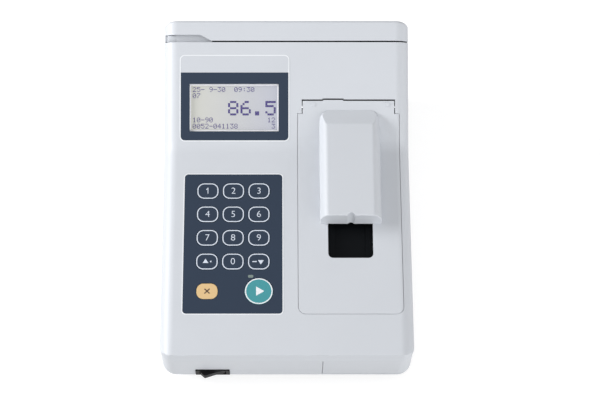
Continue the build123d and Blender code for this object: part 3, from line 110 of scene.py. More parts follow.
# White room and lamps
# A bright even room, a soft lamp at the left that throws the hood's shadow, and two wide weak lamps
# in front and at the right. What looks straight at the room, and what reflects it, sees plain white.
room_strength = 0.362
lamp_target = (0, 0, 0.08)
world = bpy.data.worlds.new("white_room")
bpy.context.scene.world = world
world.use_nodes = True
room_nodes = world.node_tree.nodes
room_links = world.node_tree.links
room_background = room_nodes["Background"]
room_background.inputs["Color"].default_value = (1, 1, 1, 1)
room_level = room_nodes.new("ShaderNodeMapRange")
room_level.inputs["To Min"].default_value = room_strength
room_level.inputs["To Max"].default_value = 1.0
room_links.new(seen_mask(world.node_tree), room_level.inputs["Value"])
room_links.new(room_level.outputs["Result"], room_background.inputs["Strength"])


def add_lamp(name, place, size, watts):
    """A square soft lamp that points at the instrument."""
    data = bpy.data.lights.new(name, "AREA")
    data.size = size
    data.energy = watts
    lamp = bpy.data.objects.new(name, data)
    lamp.location = place
    lamp.rotation_euler = (Vector(lamp_target) - Vector(place)).to_track_quat("-Z", "Y").to_euler()
    bpy.context.scene.collection.objects.link(lamp)


add_lamp("left_lamp", (-1.75, 0.25, 0.85), size=0.8, watts=39)
add_lamp("front_lamp", (0.5, -2.1, 0.95), size=2.6, watts=42)
add_lamp("right_lamp", (2.0, -0.5, 0.7), size=2.4, watts=22)


# Moulded housing
# The shells are injection moulded in a pale grey plastic with a very fine spark-eroded grain.
# The plastic group also carries faint flow marks, and handling shine that varies from place to place.
shell_colour = (0.560, 0.583, 0.622)
flow_mark_scale = 26.0
shine_spread = 0.16
bump_distance = 0.0001
merge_distance = 0.000002
flat_angle = math.radians(0.3)
eased_angle = math.radians(38)
smooth_angle = math.radians(34)
eased_edge = 0.00025
flat_face_weight = 90


def add_node(tree, kind, **settings):
    """A node of that kind in a tree, with its settings and its plain input values."""
    node = tree.nodes.new(kind)
    for key, value in settings.items():
        if key.startswith("in_"):
            node.inputs[key[3:].replace("_", " ")].default_value = value
        else:
            setattr(node, key, value)
    return node


def add_sockets(group, side, sockets):
    """Gives a shader group its named inputs or outputs, each with the kind of its value."""
    for socket_name, kind in sockets.items():
        group.interface.new_socket(name=socket_name, in_out=side, socket_type="NodeSocket" + kind)


moulded_grain = bpy.data.node_groups.new("moulded_grain", "ShaderNodeTree")
grain_inputs = {
    "Colour": "Color",
    "Mottle": "Float",
    "Shine": "Float",
    "Grain Scale": "Float",
    "Grain Depth": "Float",
}
finish_outputs = {"Colour": "Color", "Roughness": "Float", "Normal": "Vector"}
add_sockets(moulded_grain, "INPUT", grain_inputs)
add_sockets(moulded_grain, "OUTPUT", finish_outputs)
grain_in = moulded_grain.nodes.new("NodeGroupInput")
grain_out = moulded_grain.nodes.new("NodeGroupOutput")
grain_place = moulded_grain.nodes.new("ShaderNodeTexCoord")
flow_noise = add_node(moulded_grain, "ShaderNodeTexNoise", in_Scale=flow_mark_scale, in_Detail=3.0)
skin_noise = add_node(moulded_grain, "ShaderNodeTexNoise", in_Detail=2.0, in_Roughness=0.6)
flow_shift = add_node(moulded_grain, "ShaderNodeMath", operation="SUBTRACT")
flow_shift.inputs[1].default_value = 0.5
flow_amount = add_node(moulded_grain, "ShaderNodeMath", operation="MULTIPLY")
flow_bright = add_node(moulded_grain, "ShaderNodeMath", operation="ADD")
flow_bright.inputs[1].default_value = 1.0
flow_colour = add_node(moulded_grain, "ShaderNodeVectorMath", operation="SCALE")
shine_shift = add_node(moulded_grain, "ShaderNodeMath", operation="MULTIPLY_ADD")
shine_shift.inputs[1].default_value = shine_spread
skin_bump = add_node(moulded_grain, "ShaderNodeBump", in_Distance=bump_distance)
grain_links = moulded_grain.links
grain_links.new(grain_place.outputs["Object"], flow_noise.inputs["Vector"])
grain_links.new(grain_place.outputs["Object"], skin_noise.inputs["Vector"])
grain_links.new(grain_in.outputs["Grain Scale"], skin_noise.inputs["Scale"])
grain_links.new(flow_noise.outputs["Fac"], flow_shift.inputs[0])
grain_links.new(flow_shift.outputs["Value"], flow_amount.inputs[0])
grain_links.new(grain_in.outputs["Mottle"], flow_amount.inputs[1])
grain_links.new(flow_amount.outputs["Value"], flow_bright.inputs[0])
grain_links.new(grain_in.outputs["Colour"], flow_colour.inputs[0])
grain_links.new(flow_bright.outputs["Value"], flow_colour.inputs["Scale"])
grain_links.new(flow_shift.outputs["Value"], shine_shift.inputs[0])
grain_links.new(grain_in.outputs["Shine"], shine_shift.inputs[2])
grain_links.new(grain_in.outputs["Grain Depth"], skin_bump.inputs["Strength"])
grain_links.new(skin_noise.outputs["Fac"], skin_bump.inputs["Height"])
grain_links.new(flow_colour.outputs["Vector"], grain_out.inputs["Colour"])
grain_links.new(shine_shift.outputs["Value"], grain_out.inputs["Roughness"])
grain_links.new(skin_bump.outputs["Normal"], grain_out.inputs["Normal"])


def moulded_plastic(
    name, colour, shine=0.42, mottle=0.05, grain_scale=2400.0, grain_depth=0.25, gloss=0.5
):
    """A plastic with the moulded grain; shine is its mean roughness, gloss how much it reflects."""
    material = bpy.data.materials.new(name)
    material.use_nodes = True
    tree = material.node_tree
    grain = tree.nodes.new("ShaderNodeGroup")
    grain.node_tree = moulded_grain
    grain.inputs["Colour"].default_value = (*colour, 1)
    grain.inputs["Mottle"].default_value = mottle
    grain.inputs["Shine"].default_value = shine
    grain.inputs["Grain Scale"].default_value = grain_scale
    grain.inputs["Grain Depth"].default_value = grain_depth
    shader = tree.nodes["Principled BSDF"]
    shader.inputs["Specular IOR Level"].default_value = gloss
    for socket in ("Roughness", "Normal"):
        tree.links.new(grain.outputs[socket], shader.inputs[socket])
    tree.links.new(grain.outputs["Colour"], shader.inputs["Base Color"])
    return material


shell_grey = moulded_plastic("shell_grey", shell_colour, shine=0.46, mottle=0.035)


def finished_shell(node_name, body, shaping=None):
    """A moulded shell with its edges eased and its curves smooth, which stands for its CAD node."""
    shell = bpy.data.objects.new(node_name + "_shell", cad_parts[node_name].data.copy())
    bpy.context.scene.collection.objects.link(shell)
    bpy.ops.object.select_all(action="DESELECT")
    shell.select_set(True)
    bpy.context.view_layer.objects.active = shell
    bpy.ops.object.mode_set(mode="EDIT")
    bpy.ops.mesh.select_all(action="SELECT")
    bpy.ops.mesh.remove_doubles(threshold=merge_distance)
    bpy.ops.mesh.dissolve_limited(angle_limit=flat_angle)
    bpy.ops.object.mode_set(mode="OBJECT")
    if shaping:
        shaping(shell)
    easing = shell.modifiers.new("eased_edges", "BEVEL")
    easing.width = eased_edge
    easing.segments = 2
    easing.limit_method = "ANGLE"
    easing.angle_limit = eased_angle
    bpy.ops.object.modifier_apply(modifier=easing.name)
    bpy.ops.object.shade_smooth_by_angle(angle=smooth_angle)
    flattening = shell.modifiers.new("flat_faces", "WEIGHTED_NORMAL")
    flattening.weight = flat_face_weight
    flattening.keep_sharp = True
    bpy.ops.object.modifier_apply(modifier=flattening.name)
    shell.data.materials.clear()
    shell.data.materials.append(shell_grey)
    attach(shell, body)
    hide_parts(node_name)


finished_shell("top_case", "housing")
finished_shell("lower_case", "housing")

# Rear lid
# A cap of the same moulded plastic over the printer, with a slanted finger notch in its front edge.
# It swings back on two steel pins at its rear lower edge, and carries the printer's platen.
finished_shell("rear_lid", "lid")

# Measuring cover and hood
# The cover is a bent plate of the same plastic, which lies in its recess and swings up at the rear.
# The hood is a second moulding with upright sides, soft shoulders and round rear corners, welded
# onto the plate over the slide port.
finished_shell("measuring_cover", "cover")

bend_place = (0, 0.040918, 0.074610)
deck_tilt = math.radians(5.0)
deck_plane = Matrix.Translation(bend_place) @ Matrix.Rotation(deck_tilt, 4, "X")
deck_up = deck_plane.to_3x3() @ Vector((0, 0, 1))
hood_x = 0.0505
hood_height = 0.0164
hood_front = 0.0680
hood_length = 0.0975
drafted_base_front = 0.0251
drafted_base_rear = 0.0273
drafted_top_front = 0.0212
drafted_top_rear = 0.0215
hood_side = 0.0243
hood_shift = 0.0003
shoulder_from = 0.0070
shoulder_inset = 0.0047
shoulder_curve = 1.6
shoulder_lines = (0.0070, 0.0085, 0.0099, 0.0112, 0.0124, 0.0135, 0.0145, 0.0153, 0.0160)
rear_corner_from = 0.0200
rear_corner_length = 0.0085
rear_corner_inset = 0.0030


def upright_sides(hood):
    """Sets the hood's drafted sides upright below soft shoulders, and rounds its rear corners."""
    bpy.ops.object.mode_set(mode="EDIT")
    for height in shoulder_lines:
        line_place = deck_plane @ Vector((0, 0, height))
        bpy.ops.mesh.select_all(action="SELECT")
        bpy.ops.mesh.bisect(plane_co=line_place, plane_no=deck_up)
    bpy.ops.object.mode_set(mode="OBJECT")
    to_deck = deck_plane.inverted()
    for vertex in hood.data.vertices:
        place = to_deck @ vertex.co
        along = (place.y + hood_front) / hood_length
        base = drafted_base_front + (drafted_base_rear - drafted_base_front) * along
        top = drafted_top_front + (drafted_top_rear - drafted_top_front) * along
        drafted = base + (top - base) * min(1, place.z / hood_height)
        rise = min(1, max(0, (place.z - shoulder_from) / (hood_height - shoulder_from)))
        turn = min(1, max(0, (place.y - rear_corner_from) / rear_corner_length))
        upright = hood_side - shoulder_inset * rise**shoulder_curve
        upright -= rear_corner_inset * (1 - math.sqrt(1 - turn * turn))
        vertex.co.x = hood_x + hood_shift + (place.x - hood_x) * upright / drafted


finished_shell("cover_hood", "cover", shaping=upright_sides)

# Waste drawer
# The drawer's front is moulded like the housing and closes flush with it at the lower right.
# A plain grey bin behind it catches the used slides.
finished_shell("drawer_front", "drawer")


def finish_node(node_name, material):
    """Gives a CAD node its material through its own slots, and leaves its mesh as it is."""
    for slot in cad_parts[node_name].material_slots:
        slot.material = material


bin_grey = moulded_plastic("bin_grey", (0.30, 0.31, 0.33), shine=0.5)
finish_node("waste_bin", bin_grey)

# Lid seat
# A dull black strip is set into the seam in front of the lid: painted shade, which stands for the
# shadow inside the seam.
# At the left a small insert of the housing's plastic closes the floor of the finger notch up to
# the lid's cheek.
slope_tilt = math.radians(27.7)
slope_plane = Matrix.Translation(bend_place) @ Matrix.Rotation(slope_tilt, 4, "X")
lid_front = 0.08480
seam_shade_from = -0.0602
seam_shade_to = 0.0880
seam_shade_width = 0.00117
seam_shade_depth = 0.0001
seam_shade_height = 0.0020
seam_shade_round = 0.0001
insert_from = -0.0964
insert_to = -0.0875
insert_length = 0.0058
insert_depth = 0.00415
insert_height = 0.0040
insert_round = 0.0006


def seat_block(name, x_from, x_to, length, depth, height, rounding):
    """A block let into the seam in front of the lid, its top below the slope by its depth."""
    bpy.ops.object.select_all(action="DESELECT")
    bpy.ops.mesh.primitive_cube_add(size=1)
    block = bpy.context.active_object
    block.name = name
    block.scale = (x_to - x_from, length, height)
    block.location = ((x_from + x_to) / 2, lid_front + length / 2, -depth - height / 2)
    bpy.ops.object.transform_apply(location=True, rotation=True, scale=True)
    easing = block.modifiers.new("eased_edges", "BEVEL")
    easing.width = rounding
    easing.segments = 3
    bpy.ops.object.modifier_apply(modifier=easing.name)
    block.data.transform(slope_plane)
    bpy.ops.object.shade_smooth_by_angle(angle=smooth_angle)
    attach(block, "housing")
    return block


# Painted shade: a dull black strip laid in the lid's seam, where the seam lies in shadow.
seam_shade_black = moulded_plastic("seam_shade_black", (0.004, 0.004, 0.005), shine=0.85, mottle=0.1, gloss=0.08)
lid_seam_shade = seat_block(
    "lid_seam_shade", seam_shade_from, seam_shade_to, seam_shade_width, seam_shade_depth, seam_shade_height, seam_shade_round
)
lid_seam_shade.data.materials.append(seam_shade_black)
notch_insert = seat_block(
    "notch_insert", insert_from, insert_to, insert_length, insert_depth, insert_height, insert_round
)
notch_insert.data.materials.append(shell_grey)

# Display panel
# A printed polyester sheet, pale above and slate blue below, laid into a shallow seat on the slope.
# The print is worked out from the place up the slope, and a raised pale line runs round its border,
# whose white is a painted highlight on the edge of the sheet's seat.
panel_x = -0.0420
panel_width = 0.0882
panel_from = 0.0046
panel_to = 0.0743
panel_corner = 0.0038
pale_band_from = 0.0602
print_edge = 0.0001
print_slate = (0.021, 0.034, 0.059)
print_and_highlight_white = (0.76, 0.78, 0.81)
edge_highlight_line = 0.0008
edge_highlight_over = 0.0002
edge_highlight_height = 0.00018
corner_segments = 7

# The distance up a tilted face from the bend, which places the bands of its print
face_distance = bpy.data.node_groups.new("face_distance", "ShaderNodeTree")
tilt_inputs = {"Bend Y": "Float", "Bend Z": "Float", "Tilt Cosine": "Float", "Tilt Sine": "Float"}
add_sockets(face_distance, "INPUT", tilt_inputs)
add_sockets(face_distance, "OUTPUT", {"Distance": "Float"})
face_in = face_distance.nodes.new("NodeGroupInput")
face_out = face_distance.nodes.new("NodeGroupOutput")
face_place = face_distance.nodes.new("ShaderNodeTexCoord")
face_split = face_distance.nodes.new("ShaderNodeSeparateXYZ")
face_y = add_node(face_distance, "ShaderNodeMath", operation="SUBTRACT")
face_z = add_node(face_distance, "ShaderNodeMath", operation="SUBTRACT")
face_along = add_node(face_distance, "ShaderNodeMath", operation="MULTIPLY")
face_sum = add_node(face_distance, "ShaderNodeMath", operation="MULTIPLY_ADD")
face_links = face_distance.links
face_links.new(face_place.outputs["Object"], face_split.inputs["Vector"])
face_links.new(face_split.outputs["Y"], face_y.inputs[0])
face_links.new(face_in.outputs["Bend Y"], face_y.inputs[1])
face_links.new(face_split.outputs["Z"], face_z.inputs[0])
face_links.new(face_in.outputs["Bend Z"], face_z.inputs[1])
face_links.new(face_z.outputs["Value"], face_along.inputs[0])
face_links.new(face_in.outputs["Tilt Sine"], face_along.inputs[1])
face_links.new(face_y.outputs["Value"], face_sum.inputs[0])
face_links.new(face_in.outputs["Tilt Cosine"], face_sum.inputs[1])
face_links.new(face_along.outputs["Value"], face_sum.inputs[2])
face_links.new(face_sum.outputs["Value"], face_out.inputs["Distance"])


def printed_sheet(name, below, above, boundary, tilt, shine=0.38):
    """A printed plastic sheet whose colour changes at a distance up its tilted face."""
    material = moulded_plastic(
        name, below, shine=shine, mottle=0.06, grain_scale=1600, grain_depth=0.12, gloss=0.25
    )
    tree = material.node_tree
    grain = next(node for node in tree.nodes if node.type == "GROUP")
    distance = tree.nodes.new("ShaderNodeGroup")
    distance.node_tree = face_distance
    distance.inputs["Bend Y"].default_value = bend_place[1]
    distance.inputs["Bend Z"].default_value = bend_place[2]
    distance.inputs["Tilt Cosine"].default_value = math.cos(tilt)
    distance.inputs["Tilt Sine"].default_value = math.sin(tilt)
    band = add_node(tree, "ShaderNodeMapRange")
    band.inputs["From Min"].default_value = boundary - print_edge
    band.inputs["From Max"].default_value = boundary + print_edge
    inks = add_node(tree, "ShaderNodeMix", data_type="RGBA")
    inks.inputs["A"].default_value = (*below, 1)
    inks.inputs["B"].default_value = (*above, 1)
    tree.links.new(distance.outputs["Distance"], band.inputs["Value"])
    tree.links.new(band.outputs["Result"], inks.inputs["Factor"])
    tree.links.new(inks.outputs["Result"], grain.inputs["Colour"])
    return material


panel_print = printed_sheet("panel_print", print_slate, shell_colour, pale_band_from, slope_tilt)
finish_node("display_panel", panel_print)

# Pale white for the start key's real print, and painted highlight on the raised beads round the printed
# sheets.
ink_and_highlight_white = moulded_plastic("ink_and_highlight_white", print_and_highlight_white, shine=0.4, mottle=0.04, grain_depth=0.1)


def rounded_face(name, width, height, corner):
    """A flat face with rounded corners, centred on the origin, all selected in edit mode."""
    bpy.ops.object.select_all(action="DESELECT")
    bpy.ops.mesh.primitive_plane_add(size=1.0)
    face = bpy.context.object
    face.name = name
    face.scale = (width, height, 1)
    bpy.ops.object.transform_apply(location=False, rotation=False, scale=True)
    bpy.ops.object.mode_set(mode="EDIT")
    bpy.ops.mesh.select_all(action="SELECT")
    bpy.ops.mesh.bevel(offset=corner, segments=corner_segments, affect="VERTICES")
    bpy.ops.mesh.select_all(action="SELECT")
    return face


def thicken(thickness):
    """Gives the flat face in edit mode its thickness, and goes back to object mode."""
    bpy.ops.mesh.select_all(action="SELECT")
    bpy.ops.mesh.extrude_region_move(TRANSFORM_OT_translate={"value": (0, 0, thickness)})
    bpy.ops.mesh.select_all(action="SELECT")
    bpy.ops.mesh.normals_make_consistent(inside=False)
    bpy.ops.object.mode_set(mode="OBJECT")


def rounded_plate(name, width, height, corner, thickness):
    """A flat plate with rounded corners, its underside at zero."""
    plate = rounded_face(name, width, height, corner)
    thicken(thickness)
    return plate


def rounded_ring(name, width, height, corner, line, thickness):
    """A printed line round a rounded outline: a plate with its inside cut away."""
    ring = rounded_face(name, width, height, corner)
    bpy.ops.mesh.inset(thickness=line, depth=0)
    bpy.ops.mesh.delete(type="FACE")
    thicken(thickness)
    return ring


def lay_on(piece, plane, x, y, height, body, material, slot_name):
    """Lays a piece made at the origin onto a face, gives it its material and makes it ride."""
    piece.data.transform(plane @ Matrix.Translation((x, y, height)))
    piece.data.materials.clear()
    piece.data.materials.append(material)
    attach(piece, body)


# The sheet's border is a fine raised bead that closes the gap of its seat; its white is a painted
# highlight on the seat's edge
panel_edge_highlight = rounded_ring(
    "panel_edge_highlight",
    panel_width + 2 * edge_highlight_over,
    panel_to - panel_from + 2 * edge_highlight_over,
    panel_corner + edge_highlight_over,
    edge_highlight_line,
    edge_highlight_height,
)
panel_middle = (panel_from + panel_to) / 2
lay_on(panel_edge_highlight, slope_plane, panel_x, panel_middle, 0, "housing", ink_and_highlight_white, "panel_blue")

# Display window
# A clear pane is glued behind the printed sheet, with the liquid crystal glass under it in a bright
# metal bezel. A fine haze on the pane, as wiping leaves, varies its shine.
screen_x = -0.0423
screen_up = 0.0317
screen_width = 0.072
screen_height = 0.0384
glass_surface = -0.002
module_dots = 128
module_dot_gap = 0.00006
lcd_glow = 0.3
pane_clear = 0.02
pane_hazy = 0.05
pane_wiped = 0.06
pane_smeared = 0.16
ink_height = 0.00004
clear_pane = bpy.data.materials.new("clear_pane")
clear_pane.use_nodes = True
pane_tree = clear_pane.node_tree
pane_shader = pane_tree.nodes["Principled BSDF"]
pane_shader.inputs["Base Color"].default_value = (0.85, 0.88, 0.90, 1)
pane_shader.inputs["Specular IOR Level"].default_value = 0.35
pane_place = pane_tree.nodes.new("ShaderNodeTexCoord")
pane_haze = add_node(pane_tree, "ShaderNodeTexNoise", in_Scale=90.0, in_Detail=4.0)
pane_alpha = add_node(pane_tree, "ShaderNodeMapRange")
pane_alpha.inputs["To Min"].default_value = pane_clear
pane_alpha.inputs["To Max"].default_value = pane_hazy
pane_shine = add_node(pane_tree, "ShaderNodeMapRange")
pane_shine.inputs["To Min"].default_value = pane_wiped
pane_shine.inputs["To Max"].default_value = pane_smeared
pane_tree.links.new(pane_place.outputs["Object"], pane_haze.inputs["Vector"])
pane_tree.links.new(pane_haze.outputs["Fac"], pane_alpha.inputs["Value"])
pane_tree.links.new(pane_haze.outputs["Fac"], pane_shine.inputs["Value"])
pane_tree.links.new(pane_alpha.outputs["Result"], pane_shader.inputs["Alpha"])
pane_tree.links.new(pane_shine.outputs["Result"], pane_shader.inputs["Roughness"])
finish_node("display_pane", clear_pane)

# The lit face is warmer at its left and bluer at its right, with the faint grid of its dots
lcd_face = bpy.data.materials.new("lcd_face")
lcd_face.use_nodes = True
lcd_tree = lcd_face.node_tree
lcd_shader = lcd_tree.nodes["Principled BSDF"]
lcd_shader.inputs["Roughness"].default_value = 0.35
lcd_shader.inputs["Emission Strength"].default_value = lcd_glow
lcd_place = lcd_tree.nodes.new("ShaderNodeTexCoord")
lcd_split = lcd_tree.nodes.new("ShaderNodeSeparateXYZ")
lcd_across = add_node(lcd_tree, "ShaderNodeMapRange")
lcd_across.inputs["From Min"].default_value = screen_x - screen_width / 2
lcd_across.inputs["From Max"].default_value = screen_x + screen_width / 2
lcd_tones = lcd_tree.nodes.new("ShaderNodeValToRGB")
lcd_tones.color_ramp.elements[0].color = (0.45, 0.45, 0.41, 1)
lcd_tones.color_ramp.elements[1].color = (0.36, 0.37, 0.43, 1)
lcd_cells = add_node(lcd_tree, "ShaderNodeTexBrick", offset=0.0)
lcd_cells.inputs["Scale"].default_value = 1.0
lcd_cells.inputs["Brick Width"].default_value = screen_width / module_dots
lcd_cells.inputs["Row Height"].default_value = screen_width / module_dots
lcd_cells.inputs["Mortar Size"].default_value = module_dot_gap
lcd_cells.inputs["Color1"].default_value = (1, 1, 1, 1)
lcd_cells.inputs["Color2"].default_value = (0.985, 0.985, 0.985, 1)
lcd_cells.inputs["Mortar"].default_value = (0.93, 0.93, 0.93, 1)
lcd_mix = add_node(lcd_tree, "ShaderNodeMix", data_type="RGBA", blend_type="MULTIPLY")
lcd_mix.inputs["Factor"].default_value = 1.0
lcd_tree.links.new(lcd_place.outputs["Object"], lcd_split.inputs["Vector"])
lcd_tree.links.new(lcd_place.outputs["Object"], lcd_cells.inputs["Vector"])
lcd_tree.links.new(lcd_split.outputs["X"], lcd_across.inputs["Value"])
lcd_tree.links.new(lcd_across.outputs["Result"], lcd_tones.inputs["Fac"])
lcd_tree.links.new(lcd_tones.outputs["Color"], lcd_mix.inputs["A"])
lcd_tree.links.new(lcd_cells.outputs["Color"], lcd_mix.inputs["B"])
lcd_tree.links.new(lcd_mix.outputs["Result"], lcd_shader.inputs["Base Color"])
lcd_tree.links.new(lcd_mix.outputs["Result"], lcd_shader.inputs["Emission Color"])
finish_node("lcd_glass", lcd_face)

bezel_metal = moulded_plastic("bezel_metal", (0.88, 0.89, 0.93), shine=0.35, grain_depth=0.1)
finish_node("lcd_frame", bezel_metal)

# A fine white line runs round the lit face, just above the glass
screen_line_corner = 0.0008
screen_line_width = 0.0011
screen_line_height = glass_surface + 0.0002
line_white = moulded_plastic(
    "line_white", (0.93, 0.92, 0.95), shine=0.5, mottle=0.03, grain_depth=0.05
)
screen_line = rounded_ring(
    "screen_line", screen_width, screen_height, screen_line_corner, screen_line_width, ink_height
)
lay_on(
    screen_line,
    slope_plane,
    screen_x,
    screen_up,
    screen_line_height,
    "housing",
    line_white,
    "panel_blue",
)

# Display figures
# The glass shows plain figures in square dots: small ones seven dots high, and one large value.
# A grid of the display's dots is laid on the glass, and the dots that aren't lit are taken out.
figure_dots = {
    "0": "01110 10001 10011 10101 11001 10001 01110",
    "1": "00100 01100 00100 00100 00100 00100 01110",
    "2": "01110 10001 00001 00010 00100 01000 11111",
    "3": "11111 00010 00100 00010 00001 10001 01110",
    "4": "00010 00110 01010 10010 11111 00010 00010",
    "5": "11111 10000 11110 00001 00001 10001 01110",
    "6": "00110 01000 10000 11110 10001 10001 01110",
    "7": "11111 00001 00010 00100 01000 01000 01000",
    "8": "01110 10001 10001 01110 10001 10001 01110",
    "9": "01110 10001 10001 01111 00001 00010 01100",
    "-": "00000 00000 00000 11111 00000 00000 00000",
    ":": "00000 00100 00100 00000 00100 00100 00000",
    ".": "00000 00000 00000 00000 00000 01100 01100",
    " ": "00000 00000 00000 00000 00000 00000 00000",
}
figure_columns = 6
dots_across = 126
dots_down = 64
dot_pitch = 0.00056
dot_inset = 0.00001
dot_height = 0.00003
dot_lift = 0.00002
# Text, first column, row of its top dots, and the size of one dot in display dots
shown_figures = (
    ("25- 9-30  09:30", 3, 2, 1),
    ("07", 3, 11, 1),
    ("86.5", 54, 22, 3),
    ("10-90", 3, 46, 1),
    ("12", 111, 46, 1),
    ("0052-041138", 3, 55, 1),
    ("3", 117, 55, 1),
)
lit_dots = set()
for figures, first_column, first_row, dot_size in shown_figures:
    for place, figure in enumerate(figures):
        for row, line in enumerate(figure_dots[figure].split()):
            for column, dot in enumerate(line):
                if dot == "1":
                    left = first_column + (place * figure_columns + column) * dot_size
                    top = first_row + row * dot_size
                    lit_dots.update(
                        (left + across, top + down)
                        for across in range(dot_size)
                        for down in range(dot_size)
                    )
bpy.ops.object.select_all(action="DESELECT")
bpy.ops.mesh.primitive_grid_add(x_subdivisions=dots_across, y_subdivisions=dots_down, size=1.0)
lcd_figures = bpy.context.object
lcd_figures.name = "lcd_figures"
lcd_figures.scale = (dots_across * dot_pitch, dots_down * dot_pitch, 1)
bpy.ops.object.transform_apply(location=False, rotation=False, scale=True)
bpy.ops.object.mode_set(mode="EDIT")
bpy.ops.mesh.select_mode(type="FACE")
bpy.ops.mesh.select_all(action="DESELECT")
bpy.ops.object.mode_set(mode="OBJECT")
for face in lcd_figures.data.polygons:
    column = round(face.center.x / dot_pitch + dots_across / 2 - 0.5)
    row = round(dots_down / 2 - 0.5 - face.center.y / dot_pitch)
    face.select = (column, row) not in lit_dots
bpy.ops.object.mode_set(mode="EDIT")
bpy.ops.mesh.delete(type="FACE")
bpy.ops.mesh.select_all(action="SELECT")
bpy.ops.mesh.inset(thickness=dot_inset, use_individual=True)
bpy.ops.mesh.select_all(action="INVERT")
bpy.ops.mesh.delete(type="FACE")
bpy.ops.mesh.select_all(action="SELECT")
bpy.ops.mesh.extrude_region_move(TRANSFORM_OT_translate={"value": (0, 0, dot_height)})
bpy.ops.object.mode_set(mode="OBJECT")
lcd_ink = moulded_plastic(
    "lcd_ink", (0.034, 0.016, 0.170), shine=0.5, mottle=0.12, grain_depth=0.05, gloss=0.1
)
figures_height = glass_surface + dot_lift
lay_on(
    lcd_figures, slope_plane, screen_x, screen_up, figures_height, "housing", lcd_ink, "lcd_face"
)

# Keypad sheet
# One printed polyester sheet is glued over the switches in a shallow seat of the deck.
# It is slate blue, and a fine raised bead runs round its border, whose white is a painted highlight on
# the edge of its seat.
keypad_x = -0.0425
keypad_width = 0.0785
keypad_from = 0.0245
keypad_to = 0.1449
keypad_corner = 0.0030
keypad_edge_highlight_over = 0.0006
key_surface = 0.0003
past_the_sheet = 1.0
sheet_print = printed_sheet("sheet_print", print_slate, print_slate, past_the_sheet, deck_tilt)
finish_node("keypad_sheet", sheet_print)
# Painted highlight: a white bead that stands for the lit edge of the keypad's seat.
keypad_edge_highlight = rounded_ring(
    "keypad_edge_highlight",
    keypad_width + 2 * keypad_edge_highlight_over,
    keypad_to - keypad_from + 2 * keypad_edge_highlight_over,
    keypad_corner + keypad_edge_highlight_over,
    edge_highlight_line,
    edge_highlight_height,
)
keypad_middle = -(keypad_from + keypad_to) / 2
lay_on(keypad_edge_highlight, deck_plane, keypad_x, keypad_middle, 0, "housing", ink_and_highlight_white, "panel_blue")

# Number keys
# Each key is a raised pad embossed in the same sheet, which presses a snap dome below.
# It has a printed outline, and a plain figure or arrow in the same pale ink.
key_width = 0.017
key_height = 0.0136
key_corner = 0.0055
outline_line = 0.0008
outline_inset = 0.0002
key_columns = (-0.0629, -0.0425, -0.0221)
key_rows = (-0.0395, -0.0599, -0.0803, -0.1007)
arrow_width = 0.0046
arrow_height = 0.0036
arrow_right = 0.0016
arrow_left = 0.0011
point_size = 0.0012
point_corner = 0.0004
point_right = 0.003
dash_length = 0.0034
dash_width = 0.0009
dash_corner = 0.0002
dash_left = 0.0033
flag_length = 0.0016
flag_width = 0.0006
flag_corner = 0.0001
flag_turn = math.radians(35)
flag_left = 0.0007
flag_up = 0.0017
key_print = printed_sheet(
    "key_print", print_slate, print_slate, past_the_sheet, deck_tilt, shine=0.34
)
key_grid = (
    ("key_1", "key_2", "key_3"),
    ("key_4", "key_5", "key_6"),
    ("key_7", "key_8", "key_9"),
    ("key_up", "key_0", "key_down"),
)
figure_size = 0.0079
figure_thinning = 0.00008
ink_pale = moulded_plastic(
    "ink_pale", (0.62, 0.67, 0.76), shine=0.4, mottle=0.04, grain_depth=0.1
)


def copy_of(piece, name):
    """A copy of a piece with its own mesh."""
    copy = bpy.data.objects.new(name, piece.data.copy())
    bpy.context.scene.collection.objects.link(copy)
    return copy


def printed_figure(name, text, size):
    """A printed figure as a thin mesh, centred on the origin."""
    bpy.ops.object.select_all(action="DESELECT")
    bpy.ops.object.text_add()
    figure = bpy.context.object
    figure.name = name
    figure.data.body = text
    figure.data.size = size
    figure.data.extrude = ink_height / 2
    figure.data.offset = -figure_thinning
    figure.data.resolution_u = 4
    figure.data.align_x = "CENTER"
    figure.data.align_y = "CENTER"
    bpy.ops.object.convert(target="MESH")
    figure = bpy.context.object
    figure.data.transform(Matrix.Translation((0, 0, ink_height / 2)))
    return figure


def printed_arrow(name, width, height, direction):
    """A printed triangle that points up, or down where direction is -1."""
    bpy.ops.object.select_all(action="DESELECT")
    bpy.ops.mesh.primitive_circle_add(vertices=3, radius=1.0, fill_type="NGON")
    arrow = bpy.context.object
    arrow.name = name
    arrow.scale = (width / math.sqrt(3), direction * height / 1.5, 1)
    bpy.ops.object.transform_apply(location=False, rotation=False, scale=True)
    bpy.ops.object.mode_set(mode="EDIT")
    thicken(ink_height)
    return arrow


def print_on_key(piece, key, x, y):
    """Prints a piece on a key's pad, at a place on the deck."""
    lay_on(piece, deck_plane, x, y, key_surface, key + "_pad", ink_pale, "key_blue")


